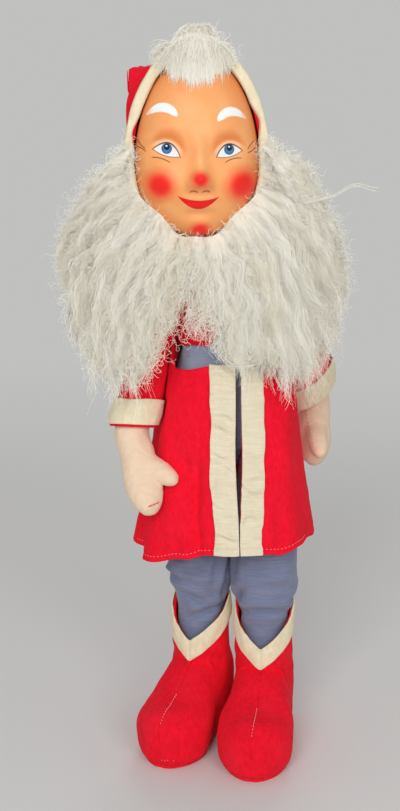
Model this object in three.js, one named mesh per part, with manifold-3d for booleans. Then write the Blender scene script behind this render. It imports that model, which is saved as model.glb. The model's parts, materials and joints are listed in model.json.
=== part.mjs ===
// A Christmas gnome doll: a stuffed cloth body in a red coat, hood and boots, with a moulded face and a wool beard.
// Millimetres, +Z up. The doll faces -Y, so its left side is at +X. "left" and "right" in names are as the viewer sees them.
// The doll is built round its torso's axis, and then set down with the bottom centre of its box at the origin.
import * as THREE from "three";
import { mergeVertices } from "three/addons/utils/BufferGeometryUtils.js";
import Module from "manifold-3d";

const wasm = await Module();
wasm.setup();

// Cloth and fits
const clearance = 0.4; // between pieces that touch
const feltThickness = 2; // hood and boots
const clothThickness = 1.5; // coat, sleeves and collar
const trimThickness = 1.4; // cream bands and cuffs

// Legs and boots
const hipHeight = 187; // the hip axis above the floor
const legGap = 1.6; // between the two boot cuffs
const legsMiddle = 4; // the legs hang a little off the torso's axis
const legsTurn = -16; // both feet point to the viewer's left, degrees
const footSplay = 6.5; // each foot turns out from that, degrees
const hipRadius = 18; // round top of a leg
const thighRadius = 20.4;
const shinRadius = 16.5; // where the leg goes into its boot
const ankleHeight = 46; // lower end of the stuffed leg
const soleThickness = 2.4;
const soleInset = 2.5; // the sole lies this far inside the boot's outline
const bootHeight = 90; // top of the boot's shaft at the back
const bootFrontHeight = 66; // top of the shaft at the front
const shaftHalfWidth = 19.4;
const shaftHalfDepth = 20.5;
const toeReach = 73; // from the leg's axis to the toe's tip
const heelReach = 25; // from the leg's axis to the heel
const toeHalfWidth = 25.5;
const toeHeight = 36; // of the toe cap over the sole
const bootCuffHeight = 15;
const bootCuffRise = 5; // the cuff stands this far above the shaft
const bootCuffNotch = 21; // depth of the V at the front of the cuff

// Torso and coat
const torsoHeight = 120;
const torsoHalfWidth = 35;
const torsoHalfDepth = 30;
const shoulderDrop = 22; // the torso narrows to the neck over this height
const coatEase = 3; // between torso and coat at the chest
const coatDrop = 62; // the hem hangs this far below the torso
const coatNeckDrop = 64; // the fronts end this far below the torso's top
const coatFlareSide = 18; // the hem stands out this much further than the chest
const coatFlareFront = 17;
const coatFlareBack = 12;
const coatCorner = 2.4; // 2 is an ellipse, more is squarer
const coatOpeningAngle = 7; // the front opening lies off the middle, degrees
const coatOpeningGap = 2.2; // between the two front bands
const hemDroop = 10; // the hem hangs lower on the viewer's left
const frontBandLeftWidth = 14.5;
const frontBandRightWidth = 13;
const collarDrop = 12; // the collar's edge below the torso's top
const collarBib = 35; // and further down at the front
// Main folds of the skirt: angle from the front, half-width in degrees, and height at the hem.
const coatFolds = [
  { angle: -55, spread: 11, height: 4 },
  { angle: -74, spread: 8, height: -7 },
  { angle: -96, spread: 10, height: 3.5 },
  { angle: 38, spread: 14, height: 2 },
  { angle: 66, spread: 10, height: -3 },
  { angle: 140, spread: 14, height: 3 },
  { angle: 176, spread: 14, height: -3 },
  { angle: 212, spread: 14, height: 3 },
];

// Arms
const shoulderBelowTop = 26; // shoulder pivots below the torso's top
const sleeveRadius = 12.6; // inside
const sleeveFlare = 0.6; // the sleeve widens this much to its end
const sleeveLength = 86;
const cuffWidth = 18;
const armRadius = 10.8;
const handHalfWidth = 12.5;
const handHalfDepth = 9;
const thumbRadius = 6;
const thumbLength = 25;
const leftArmOut = 15; // degrees away from the body, sideways
const leftArmForward = 14.5;
const leftHandDrop = 51; // finger tips below the sleeve's end
const rightArmOut = 15;
const rightArmForward = -24;
const rightHandDrop = 50;

// Head
const headShift = -20; // the head leans off the torso's axis
const headTurn = 3; // degrees
const neckRadius = 13;
const neckShift = -14; // the neck's axis, off the torso's axis
const neckDepth = 6; // and behind it
const chinAboveTorso = 10.5;
const faceHalfWidth = 37.3;
const faceUp = 66; // from the widest part of the face to its top
const faceDown = 42; // and to the chin
const faceDepth = 26; // how far the mask bulges from its rim
const faceRimDepth = -18; // the rim's place, in front of the torso's axis
const faceThickness = 2;
const headBackDepth = 50; // from the rim to the back of the head
const headFullness = 2.6; // 2 is an ellipse, more is fuller at the nape and crown
const hoodBandWidth = 5.6; // as seen from the front
const hoodBandDepth = 8.5;
const hoodBandEnd = 35; // the band ends this far below the widest part, degrees
const hoodCornerReach = 26; // the hood's limp corner
const forelockWidth = 42;
const forelockThickness = 7;
const beardSideThickness = 15;
const beardMiddleThickness = 27;
const beardGap = 2.5; // between the beard and the coat

// Places that follow from these
const legSpacing = 2 * (shaftHalfWidth + clearance + trimThickness) + legGap; // between the two hips
const soleTop = soleThickness;
const torsoBottom = hipHeight + hipRadius + clearance;
const torsoTop = torsoBottom + torsoHeight;
const coatTop = torsoTop - shoulderDrop / 2;
const hemHeight = torsoBottom - coatDrop;
const shoulderHeight = torsoTop - shoulderBelowTop;
const cuffRadius = sleeveRadius + sleeveFlare + clothThickness + clearance; // inside
const faceHeight = torsoTop + chinAboveTorso + faceDown;
const radians = THREE.MathUtils.degToRad;
const smooth = THREE.MathUtils.smoothstep;

// Makes a closed geometry from points and faces, with its faces pointing out.
function closed(points, faces) {
  let volume = 0;
  for (const [a, b, c] of faces) {
    volume += points[a].dot(new THREE.Vector3().crossVectors(points[b], points[c]));
  }
  const turned = volume < 0 ? faces.map(([a, b, c]) => [a, c, b]) : faces;
  const geometry = new THREE.BufferGeometry().setFromPoints(points);
  return geometry.setIndex(turned.flat());
}

// Joins rings of equally many points into one closed body. A loop joins the last ring to the first, and otherwise
// each end is closed by a fan.
function loft(rings, loop = false) {
  const sides = rings[0].length;
  const points = rings.flat();
  const faces = [];
  const last = loop ? rings.length : rings.length - 1;
  for (let i = 0; i < last; i++) {
    const here = i * sides;
    const next = ((i + 1) % rings.length) * sides;
    for (let k = 0; k < sides; k++) {
      const after = (k + 1) % sides;
      faces.push([here + k, here + after, next + after], [here + k, next + after, next + k]);
    }
  }
  if (!loop) {
    for (const [ring, first, reverse] of [[rings[0], 0, true], [rings.at(-1), points.length - sides, false]]) {
      const middle = ring.reduce((sum, p) => sum.add(p), new THREE.Vector3()).divideScalar(sides);
      const centre = points.push(middle) - 1;
      for (let k = 0; k < sides; k++) {
        const a = first + k;
        const b = first + ((k + 1) % sides);
        faces.push(reverse ? [centre, b, a] : [centre, a, b]);
      }
    }
  }
  return closed(points, faces);
}

// A sheet between two grids of points, closed along all four edges.
function panel(front, back) {
  const rows = front.length;
  const columns = front[0].length;
  const points = [...front.flat(), ...back.flat()];
  const at = (side, i, j) => side * rows * columns + i * columns + j;
  const faces = [];
  const quad = (a, b, c, d) => faces.push([a, b, c], [a, c, d]);
  for (let i = 0; i + 1 < rows; i++) {
    for (let j = 0; j + 1 < columns; j++) {
      quad(at(0, i, j), at(0, i, j + 1), at(0, i + 1, j + 1), at(0, i + 1, j));
      quad(at(1, i, j), at(1, i + 1, j), at(1, i + 1, j + 1), at(1, i, j + 1));
    }
    quad(at(0, i, 0), at(0, i + 1, 0), at(1, i + 1, 0), at(1, i, 0));
    const end = columns - 1;
    quad(at(0, i + 1, end), at(0, i, end), at(1, i, end), at(1, i + 1, end));
  }
  for (let j = 0; j + 1 < columns; j++) {
    quad(at(0, 0, j + 1), at(0, 0, j), at(1, 0, j), at(1, 0, j + 1));
    const end = rows - 1;
    quad(at(0, end, j), at(0, end, j + 1), at(1, end, j + 1), at(1, end, j));
  }
  return closed(points, faces);
}

// A ring of points round a centre, square to a direction: half-width a across the doll, and b the other way.
function ringAt(centre, along, a, b, sides, square = 2) {
  const across = new THREE.Vector3(1, 0, 0).addScaledVector(along, -along.x).normalize();
  const other = new THREE.Vector3().crossVectors(along, across);
  return Array.from({ length: sides }, (_, k) => {
    const turn = (2 * Math.PI * k) / sides;
    const c = Math.cos(turn);
    const s = Math.sin(turn);
    const u = a * Math.sign(c) * Math.abs(c) ** (2 / square);
    const v = b * Math.sign(s) * Math.abs(s) ** (2 / square);
    return centre.clone().addScaledVector(across, u).addScaledVector(other, v);
  });
}

// Rings along a smooth spine. Each station gives its place, half-width a and half-depth b. Rings lie square to the
// spine, or level.
function limbRings(stations, count, sides, level = false) {
  const spine = new THREE.CatmullRomCurve3(stations.map((s) => new THREE.Vector3(...s.at)), false, "catmullrom");
  const sizes = stations.map((s) => new THREE.Vector3(s.a, s.b, s.square ?? 2));
  const sizeCurve = new THREE.CatmullRomCurve3(sizes, false, "catmullrom", 0.4);
  return Array.from({ length: count }, (_, i) => {
    const t = i / (count - 1);
    const size = sizeCurve.getPoint(t);
    const along = level ? new THREE.Vector3(0, 0, 1) : spine.getTangent(t);
    return ringAt(spine.getPoint(t), along, size.x, size.y, sides, size.z);
  });
}

// Stations that round off the end of a limb, as part of a ball.
function domeStations(at, towards, a, b, angles) {
  return angles.map((angle) => {
    const rise = Math.sin(radians(angle)) * Math.min(a, b);
    const share = Math.cos(radians(angle));
    return { at: at.map((v, i) => v + towards[i] * rise), a: a * share, b: b * share };
  });
}

function solidOf(geometry) {
  const bare = new THREE.BufferGeometry().setAttribute("position", geometry.getAttribute("position"));
  if (geometry.index) bare.setIndex(geometry.index);
  const merged = mergeVertices(bare, 1e-4);
  const vertProperties = new Float32Array(merged.getAttribute("position").array);
  const triVerts = new Uint32Array(merged.index.array);
  return new wasm.Manifold(new wasm.Mesh({ numProp: 3, vertProperties, triVerts }));
}

function geometryOf(solid) {
  const { vertProperties, triVerts } = solid.getMesh();
  return new THREE.BufferGeometry()
    .setAttribute("position", new THREE.BufferAttribute(vertProperties, 3))
    .setIndex(new THREE.BufferAttribute(triVerts, 1));
}

// A box solid between two corners.
function block(low, high) {
  const size = high.map((v, i) => v - low[i]);
  const box = new THREE.BoxGeometry(...size);
  return solidOf(box.translate(...low.map((v, i) => v + size[i] / 2)));
}

function ball(centre, radius, sides = 20) {
  const sphere = new THREE.SphereGeometry(radius, sides, sides / 2);
  return solidOf(sphere.translate(...centre));
}

const far = 1000; // reach of cutting blocks
const finishes = {
  red: new THREE.MeshStandardMaterial({ color: 0xd80f1e, roughness: 0.9, metalness: 0 }),
  cream: new THREE.MeshStandardMaterial({ color: 0xf1e6c4, roughness: 0.95, metalness: 0 }),
  blue: new THREE.MeshStandardMaterial({ color: 0x5c6a8a, roughness: 0.9, metalness: 0 }),
  skin: new THREE.MeshStandardMaterial({ color: 0xf0dcbc, roughness: 0.95, metalness: 0 }),
  face: new THREE.MeshStandardMaterial({ color: 0xf2b37c, roughness: 0.35, metalness: 0 }),
  wool: new THREE.MeshStandardMaterial({ color: 0xf2eede, roughness: 1, metalness: 0 }),
};

function piece(name, geometry, finish, parent) {
  geometry.computeVertexNormals();
  const mesh = new THREE.Mesh(geometry, finishes[finish]);
  mesh.name = name;
  parent.add(mesh);
}

const doll = new THREE.Group();

// Legs and boots. Each leg is built round its own axis, and its group turns it the way its foot points.
const legs = new THREE.Group();
legs.position.set(legsMiddle, 0, 0);
legs.rotation.z = radians(legsTurn);
doll.add(legs);

// The boot's rings go down the shaft, round the heel and out to the toe, as a sock is knitted.
function bootRings(inset, sides) {
  const instep = [-shaftHalfDepth * 0.75, bootFrontHeight * 0.78];
  const shaft = { a: shaftHalfWidth - inset, b: shaftHalfDepth - inset };
  const down = new THREE.Vector3(0, 0, -1);
  const rings = [bootHeight, (bootHeight + bootFrontHeight) / 2, bootFrontHeight * 0.85].map((z) => {
    return ringAt(new THREE.Vector3(0, 0, z), down, shaft.a, shaft.b, sides);
  });
  // Round the heel the rings fan out from the instep, from level to upright.
  const heelSize = heelReach + shaftHalfDepth * 0.75;
  for (const angle of [28, 55, 80]) {
    const share = angle / 90;
    const along = new THREE.Vector3(0, -Math.sin(radians(angle)), -Math.cos(radians(angle)));
    const outward = new THREE.Vector3(0, Math.cos(radians(angle)), -Math.sin(radians(angle)));
    const reach = THREE.MathUtils.lerp(heelSize, instep[1], share) + 6 * Math.sin(Math.PI * share);
    const half = reach / 2;
    const middle = new THREE.Vector3(0, instep[0], instep[1]).addScaledVector(outward, half - 1);
    rings.push(ringAt(middle, along, shaft.a + 1.2 * share, half - inset + 1, sides, 2 + 0.4 * share));
  }
  // Then the foot's rings stand upright, up to the round toe.
  const forward = new THREE.Vector3(0, -1, 0);
  const footStart = instep[0] - 6;
  for (const share of [0.12, 0.34, 0.58, 0.8, 0.93, 0.985]) {
    const y = THREE.MathUtils.lerp(footStart, -toeReach + inset, share);
    const round = share < 0.58 ? 1 : Math.sqrt(Math.max(0, 1 - ((share - 0.58) / 0.43) ** 2));
    const widen = smooth(share, 0, 0.5);
    const halfWidth = THREE.MathUtils.lerp(shaftHalfWidth + 1.5, toeHalfWidth, widen);
    const height = THREE.MathUtils.lerp(instep[1] - 3, toeHeight, smooth(share, 0, 0.55));
    const a = (halfWidth - inset) * round;
    const b = (height / 2 + 2 - inset) * (0.35 + 0.65 * round);
    rings.push(ringAt(new THREE.Vector3(0, y, height / 2), forward, a, b, sides, 2.3));
  }
  return rings;
}

// A cutter that keeps what lies above a level floor and below the slanting top of the shaft.
function bootSpace(floor) {
  const shaftTop = new THREE.Shape();
  const slope = (bootHeight - bootFrontHeight) / (2 * shaftHalfDepth);
  const topAt = (y) => bootFrontHeight + (y + shaftHalfDepth) * slope;
  shaftTop.moveTo(-toeReach * 2, floor);
  shaftTop.lineTo(toeReach * 2, floor);
  shaftTop.lineTo(toeReach * 2, topAt(heelReach));
  shaftTop.lineTo(heelReach, topAt(heelReach));
  shaftTop.lineTo(-shaftHalfDepth, bootFrontHeight);
  shaftTop.lineTo(-toeReach * 2, bootFrontHeight);
  const width = toeHalfWidth * 4;
  const space = new THREE.ExtrudeGeometry(shaftTop, { depth: width, bevelEnabled: false });
  // The shape's own x and y become the boot's y and z.
  space.translate(0, 0, -width / 2);
  space.applyMatrix4(new THREE.Matrix4().makeBasis(
    new THREE.Vector3(0, 1, 0), new THREE.Vector3(0, 0, 1), new THREE.Vector3(1, 0, 0)));
  return solidOf(space);
}

function bootUpper() {
  const outer = solidOf(loft(bootRings(0, 18))).intersect(bootSpace(soleTop + clearance));
  const inner = bootHollow(feltThickness);
  const mouth = block([-far, -far, bootHeight], [far, far, far]);
  return geometryOf(outer.subtract(inner).subtract(mouth));
}

// The room inside the boot, this far in from its outside.
function bootHollow(inset) {
  const rings = bootRings(inset, 18);
  const top = rings[0].map((p) => p.clone().add(new THREE.Vector3(0, 0, bootHeight)));
  const floor = soleTop + clearance + inset;
  return solidOf(loft([top, ...rings])).subtract(block([-far, -far, -far], [far, far, floor]));
}

// Wadding that fills the boot's foot under and in front of the leg.
function footStuffing() {
  const under = block([-far, -far, -far], [far, far, ankleHeight - clearance]);
  return geometryOf(bootHollow(feltThickness + clearance).intersect(under));
}

function soleOutline(inset) {
  const heelRadius = shaftHalfWidth - inset;
  const toeRadius = toeHalfWidth - inset;
  const heelY = heelReach - inset - heelRadius;
  const toeY = -toeReach + inset + toeRadius;
  const lean = Math.asin((toeRadius - heelRadius) / (heelY - toeY));
  const outline = new THREE.Shape();
  outline.absarc(0, toeY, toeRadius, Math.PI - lean, 2 * Math.PI + lean, false);
  outline.absarc(0, heelY, heelRadius, lean, Math.PI - lean, false);
  return outline;
}

function sole() {
  return new THREE.ExtrudeGeometry(soleOutline(soleInset), {
    depth: soleThickness, bevelEnabled: false, curveSegments: 10,
  });
}

// The turned-down cuff stands round the shaft, with a V at the front.
function bootCuff(sides = 28) {
  const inside = clearance;
  const outside = clearance + trimThickness;
  const levels = [[outside, 0], [outside, 0.5], [outside, 1], [inside, 1], [inside, 0.5], [inside, 0]];
  return loft(levels.map(([grow, up]) => Array.from({ length: sides }, (_, k) => {
    const turn = (2 * Math.PI * k) / sides;
    const fromFront = Math.abs(THREE.MathUtils.euclideanModulo(turn + Math.PI, 2 * Math.PI) - Math.PI);
    const rise = Math.min(1, fromFront / (Math.PI * 0.55));
    const top = bootHeight + bootCuffRise - bootCuffNotch * (1 - rise);
    return new THREE.Vector3(
      (shaftHalfWidth + grow) * Math.sin(turn),
      -(shaftHalfDepth + grow) * Math.cos(turn),
      top - bootCuffHeight * (1 - up),
    );
  })), true);
}

// A stuffed trouser leg: a ball at the hip, soft bulges down to the boot.
function leg() {
  const hip = [0, 0, hipHeight];
  const cuffTop = bootHeight + bootCuffRise;
  const stations = [
    ...domeStations(hip, [0, 0, 1], hipRadius, hipRadius, [84, 55, 25]),
    { at: hip, a: hipRadius, b: hipRadius },
    { at: [0, 0, THREE.MathUtils.lerp(hipHeight, cuffTop, 0.45)], a: thighRadius, b: thighRadius },
    { at: [0, 0, THREE.MathUtils.lerp(hipHeight, cuffTop, 0.72)], a: thighRadius - 1.6, b: thighRadius - 1.2 },
    { at: [0, 0, cuffTop], a: shinRadius, b: shinRadius },
    { at: [0, 0, bootFrontHeight], a: shinRadius - 0.8, b: shinRadius - 0.8 },
    { at: [0, 0, ankleHeight], a: shinRadius - 2.5, b: shinRadius - 2.5 },
  ];
  return loft(limbRings(stations, 17, 16));
}

for (const [side, sign] of [["left", -1], ["right", 1]]) {
  const group = new THREE.Group();
  group.position.set((sign * legSpacing) / 2, 0, 0);
  group.rotation.z = radians(sign * footSplay);
  legs.add(group);
  piece(`leg_${side}`, leg(), "blue", group);
  piece(`foot_stuffing_${side}`, footStuffing(), "cream", group);
  piece(`boot_${side}`, bootUpper(), "red", group);
  piece(`boot_cuff_${side}`, bootCuff(), "cream", group);
  piece(`sole_${side}`, sole(), "red", group);
}

// The torso, in the same blue cloth as the trousers. Its stations go up from the seat to the neck.
const torsoStations = [
  { at: [0, 0, torsoBottom], a: torsoHalfWidth * 0.8, b: torsoHalfDepth * 0.8, square: 2.6 },
  { at: [0, 0, torsoBottom + 6], a: torsoHalfWidth * 0.97, b: torsoHalfDepth * 0.97, square: 2.6 },
  { at: [0, 0, torsoBottom + torsoHeight * 0.4], a: torsoHalfWidth, b: torsoHalfDepth, square: 2.4 },
  { at: [0, 0, torsoTop - shoulderDrop], a: torsoHalfWidth - 1, b: torsoHalfDepth - 1.5, square: 2.4 },
  {
    at: [neckShift * 0.4, neckDepth * 0.4, torsoTop - shoulderDrop * 0.35],
    a: torsoHalfWidth * 0.8,
    b: torsoHalfDepth * 0.8,
  },
  { at: [neckShift, neckDepth, torsoTop], a: neckRadius + 3, b: neckRadius + 3 },
];

// The torso's section at a height, mixed from the two stations next to it.
function torsoAt(z) {
  const level = THREE.MathUtils.clamp(z, torsoBottom, torsoTop);
  const above = Math.max(1, torsoStations.findIndex((s) => s.at[2] >= level));
  const [low, high] = [torsoStations[above - 1], torsoStations[above]];
  const share = (level - low.at[2]) / (high.at[2] - low.at[2]);
  const mix = (from, to) => THREE.MathUtils.lerp(from, to, share);
  return {
    x: mix(low.at[0], high.at[0]),
    y: mix(low.at[1], high.at[1]),
    a: mix(low.a, high.a),
    b: mix(low.b, high.b),
    square: mix(low.square ?? 2, high.square ?? 2),
  };
}

// A point of the torso's surface, or this far out of it. Turn 0 is the front.
function torsoPoint(turn, z, out) {
  const { x, y, a, b, square } = torsoAt(z);
  const s = Math.sin(turn);
  const c = Math.cos(turn);
  return new THREE.Vector3(
    x + (a + out) * Math.sign(s) * Math.abs(s) ** (2 / square),
    y - (b + out) * Math.sign(c) * Math.abs(c) ** (2 / square),
    z,
  );
}

function turns(count) {
  return Array.from({ length: count }, (_, k) => (2 * Math.PI * k) / count);
}

function torso() {
  const heights = torsoStations.map((s) => s.at[2]);
  return solidOf(loft(heights.map((z) => turns(20).map((turn) => torsoPoint(turn, z, 0)))));
}

// The coat's surface at an angle from the front, a height, and a distance out of the cloth's inside.
function coatPoint(angle, z, out) {
  const s = Math.max(0, (coatTop - z) / (coatTop - hemHeight));
  const x = Math.sin(radians(angle));
  const y = -Math.cos(radians(angle));
  const body = torsoAt(Math.max(z, torsoBottom + torsoHeight * 0.4));
  const halfWidth = body.a + coatEase + coatFlareSide * s ** 1.8;
  const flare = y < 0 ? coatFlareFront : coatFlareBack;
  const halfDepth = body.b + coatEase + flare * s;
  const power = coatCorner;
  const radius = ((Math.abs(x) / halfWidth) ** power + (Math.abs(y) / halfDepth) ** power) ** (-1 / power);
  let fold = 0;
  for (const { angle: at, spread, height } of coatFolds) {
    const off = THREE.MathUtils.euclideanModulo(angle - at + 180, 360) - 180;
    fold += height * Math.exp(-((off / spread) ** 2)) * s ** 2;
  }
  const r = radius + fold + out;
  return new THREE.Vector3(body.x + r * x, body.y + r * y, z);
}

// The hem droops on the viewer's left, and the fronts' top edge climbs to the shoulders at the sides.
function coatLevels(angle, rows, top) {
  const turned = THREE.MathUtils.euclideanModulo(angle + 180, 360) - 180;
  const low = hemHeight - hemDroop * smooth(-Math.sin(radians(turned)), 0.25, 0.9);
  return Array.from({ length: rows }, (_, i) => THREE.MathUtils.lerp(low, top, i / (rows - 1)));
}

function coatPanel(from, to, columns, rows, topAt) {
  const grid = (out) => Array.from({ length: columns }, (_, j) => {
    const angle = THREE.MathUtils.lerp(from, to, j / (columns - 1));
    return coatLevels(angle, rows, topAt(angle)).map((z) => coatPoint(angle, z, out));
  });
  return solidOf(panel(grid(clothThickness), grid(0)));
}

// Shoulder pivots, and the way each arm hangs from its shoulder.
function armFrame(sign, out, forward) {
  const pivot = [sign * (torsoHalfWidth + 4), sign < 0 ? -3 : 5, shoulderHeight];
  const hang = new THREE.Vector3(sign * Math.tan(radians(out)), -Math.tan(radians(forward)), -1).normalize();
  return { pivot, hang };
}

const leftArm = armFrame(-1, leftArmOut, leftArmForward);
const rightArm = armFrame(1, rightArmOut, rightArmForward);

// A straight sleeve with a ball-shaped head at the shoulder, this much larger than its inside at the shoulder and
// at its end.
function sleeveStations({ pivot, hang }, grow, endGrow, length) {
  const along = (distance) => pivot.map((v, i) => v + hang.toArray()[i] * distance);
  const back = hang.toArray().map((v) => -v);
  const radius = sleeveRadius + grow;
  const end = sleeveRadius + endGrow;
  return [
    ...domeStations(pivot, back, radius, radius, [82, 55, 28]),
    { at: pivot, a: radius, b: radius },
    { at: along(length * 0.5), a: radius, b: radius },
    { at: along(length), a: end, b: end },
  ];
}

// Room in the coat for a sleeve with its cuff, and all the way round the shoulder.
function armhole(arm) {
  const room = clothThickness + clearance * 2.2;
  const endRoom = cuffRadius + trimThickness + clearance * 2 - sleeveRadius;
  const stations = sleeveStations(arm, room, endRoom, sleeveLength - cuffWidth / 2);
  const sleeve = solidOf(loft(limbRings(stations, 8, 16)));
  return ball(arm.pivot, sleeveRadius + room).add(sleeve);
}

const armholes = [leftArm, rightArm].map(armhole);
const fit = (solid) => geometryOf(armholes.reduce((cut, hole) => cut.subtract(hole), solid));
const seam = 0.5; // half the gap between coat panels, degrees
const sideLeft = -88;
const sideRight = 92;
const frontTop = (angle) => torsoTop - THREE.MathUtils.lerp(coatNeckDrop, shoulderDrop * 0.8,
  smooth(Math.abs(angle), 48, 84));
const backTop = () => torsoTop - collarDrop - clearance;
const openingAt = (z) => {
  const edge = coatPoint(coatOpeningAngle, z, 0);
  return THREE.MathUtils.radToDeg(coatOpeningGap / 2 / Math.hypot(edge.x, edge.y));
};
const openingHalf = openingAt(coatTop);

piece("torso", fit(torso()), "blue", doll);
const frontLeft = coatPanel(sideLeft + seam, coatOpeningAngle - openingHalf, 17, 9, frontTop);
piece("coat_front_left", fit(frontLeft), "red", doll);
const frontRight = coatPanel(coatOpeningAngle + openingHalf, sideRight - seam, 15, 9, frontTop);
piece("coat_front_right", fit(frontRight), "red", doll);
piece("coat_back", fit(coatPanel(sideRight + seam, 360 + sideLeft - seam, 21, 9, backTop)), "red", doll);

// The cream bands lie on the fronts, along the opening.
function frontBand(sign, width) {
  const rows = 10;
  const columns = 4;
  const top = torsoTop - coatNeckDrop;
  const grid = (out) => Array.from({ length: columns }, (_, j) => {
    return coatLevels(coatOpeningAngle, rows, top).map((z) => {
      const edge = coatPoint(coatOpeningAngle, z, 0);
      const step = THREE.MathUtils.radToDeg(width / Math.hypot(edge.x, edge.y));
      const angle = coatOpeningAngle + sign * (openingHalf + (step * j) / (columns - 1));
      return coatPoint(angle, z, out);
    });
  });
  const inside = clothThickness + clearance;
  return panel(grid(inside + trimThickness), grid(inside));
}

piece("front_band_left", frontBand(-1, frontBandLeftWidth), "cream", doll);
piece("front_band_right", frontBand(1, frontBandRightWidth), "cream", doll);

// The collar lies on the shoulders, stands up round the neck and hangs lowest at the front.
function collar() {
  const sides = turns(24);
  const stand = torsoTop + chinAboveTorso - feltThickness - 2 * clearance;
  const inside = 3 * clearance;
  const outside = inside + clothThickness;
  // Its cloth bends where the torso's sections change.
  const bends = torsoStations.slice(-3).map((s) => s.at[2]);
  const lying = (level, out) => sides.map((turn) => {
    const edge = torsoTop - collarDrop - collarBib * Math.max(0, Math.cos(turn)) ** 2;
    return torsoPoint(turn, level < 0 ? edge : Math.max(bends[level], edge + 2 + level), out);
  });
  const upright = (out) => sides.map((turn) => new THREE.Vector3(
    neckShift + (neckRadius + out) * Math.sin(turn), neckDepth - (neckRadius + out) * Math.cos(turn), stand));
  const levels = [-1, 0, 1, 2];
  return solidOf(loft([
    ...levels.map((level) => lying(level, outside)), upright(outside),
    upright(inside), ...levels.map((level) => lying(level, inside)).reverse(),
  ], true));
}

piece("collar", fit(collar()), "red", doll);

// Arms. The sleeve and its cuff are sewn to the arm's upper end, and the mitten hand ends the arm.
function armStations({ pivot, hang }, bend, drop) {
  const along = (distance) => pivot.map((v, i) => v + hang.toArray()[i] * distance);
  const elbow = along(sleeveLength);
  const below = (share, swing) => [
    elbow[0] + bend[0] * swing, elbow[1] + bend[1] * swing, elbow[2] - drop * share,
  ];
  const top = sleeveRadius - clearance * 2;
  const back = hang.toArray().map((v) => -v);
  return [
    ...domeStations(pivot, back, top, top, [80, 45]),
    { at: pivot, a: top, b: top },
    { at: along(sleeveLength * 0.55), a: armRadius + 1.5, b: armRadius + 1.5 },
    { at: elbow, a: armRadius, b: armRadius },
    { at: below(0.35, 0.3), a: armRadius + 0.4, b: armRadius - 1 },
    { at: below(0.65, 0.62), a: handHalfWidth, b: handHalfDepth },
    { at: below(0.87, 0.88), a: handHalfWidth * 0.78, b: handHalfDepth * 0.85 },
    { at: below(0.97, 0.98), a: handHalfWidth * 0.42, b: handHalfDepth * 0.5 },
    { at: below(1, 1), a: handHalfWidth * 0.14, b: handHalfDepth * 0.16 },
  ];
}

function arm(frame, bend, drop, thumbWay) {
  const stations = armStations(frame, bend, drop);
  const hand = solidOf(loft(limbRings(stations, 21, 14)));
  const root = stations.at(-5).at;
  const way = new THREE.Vector3(...thumbWay).normalize();
  const place = (distance) => root.map((v, i) => v + way.toArray()[i] * distance);
  const thumb = solidOf(loft(limbRings([
    { at: place(0), a: thumbRadius, b: thumbRadius },
    { at: place(thumbLength * 0.6), a: thumbRadius * 1.05, b: thumbRadius },
    { at: place(thumbLength * 0.86), a: thumbRadius * 0.8, b: thumbRadius * 0.75 },
    { at: place(thumbLength), a: thumbRadius * 0.2, b: thumbRadius * 0.2 },
  ], 8, 10)));
  return geometryOf(hand.add(thumb));
}

function sleeve(frame) {
  const flare = sleeveFlare;
  const outside = limbRings(sleeveStations(frame, clothThickness, clothThickness + flare, sleeveLength), 11, 16);
  const inside = limbRings(sleeveStations(frame, 0, flare, sleeveLength), 11, 16);
  return loft([...outside, ...inside.reverse()]);
}

function cuff({ pivot, hang }) {
  const ring = (distance, radius) => {
    const at = pivot.map((v, i) => v + hang.toArray()[i] * distance);
    return ringAt(new THREE.Vector3(...at), hang, radius, radius, 20);
  };
  const start = sleeveLength - cuffWidth;
  return loft([
    ring(start, cuffRadius + trimThickness), ring(sleeveLength, cuffRadius + trimThickness),
    ring(sleeveLength, cuffRadius), ring(start, cuffRadius),
  ], true);
}

const arms = [
  { side: "left", frame: leftArm, bend: [8, -22], drop: leftHandDrop, thumb: [0.72, -0.75, -0.4] },
  { side: "right", frame: rightArm, bend: [2, 6], drop: rightHandDrop, thumb: [0.1, -1, -0.7] },
];
for (const { side, frame, bend, drop, thumb } of arms) {
  piece(`arm_${side}`, arm(frame, bend, drop, thumb), "skin", doll);
  piece(`sleeve_${side}`, sleeve(frame), "red", doll);
  piece(`cuff_${side}`, cuff(frame), "cream", doll);
}

// Head. Its group's origin is the middle of the mask's rim, at the widest part of the face.
const head = new THREE.Group();
head.position.set(headShift, faceRimDepth, faceHeight);
head.rotation.z = radians(headTurn);
doll.add(head);

// Soft bumps and hollows of the face: place, spread and height.
const nose = { x: 2, z: -6, wide: 7, tall: 9.5, height: 10 };
const relief = [
  nose,
  { x: -20, z: -9, wide: 11, tall: 9, height: 4.5 }, // cheeks
  { x: 22, z: -9, wide: 11, tall: 9, height: 4.5 },
  { x: -16, z: 12, wide: 9, tall: 6, height: -3 }, // eye hollows
  { x: 19, z: 12, wide: 9, tall: 6, height: -3 },
  { x: 2, z: -19, wide: 12, tall: 3, height: -1.6 }, // mouth
  { x: 2, z: -34, wide: 9, tall: 6, height: 3.5 }, // chin
];

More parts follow.
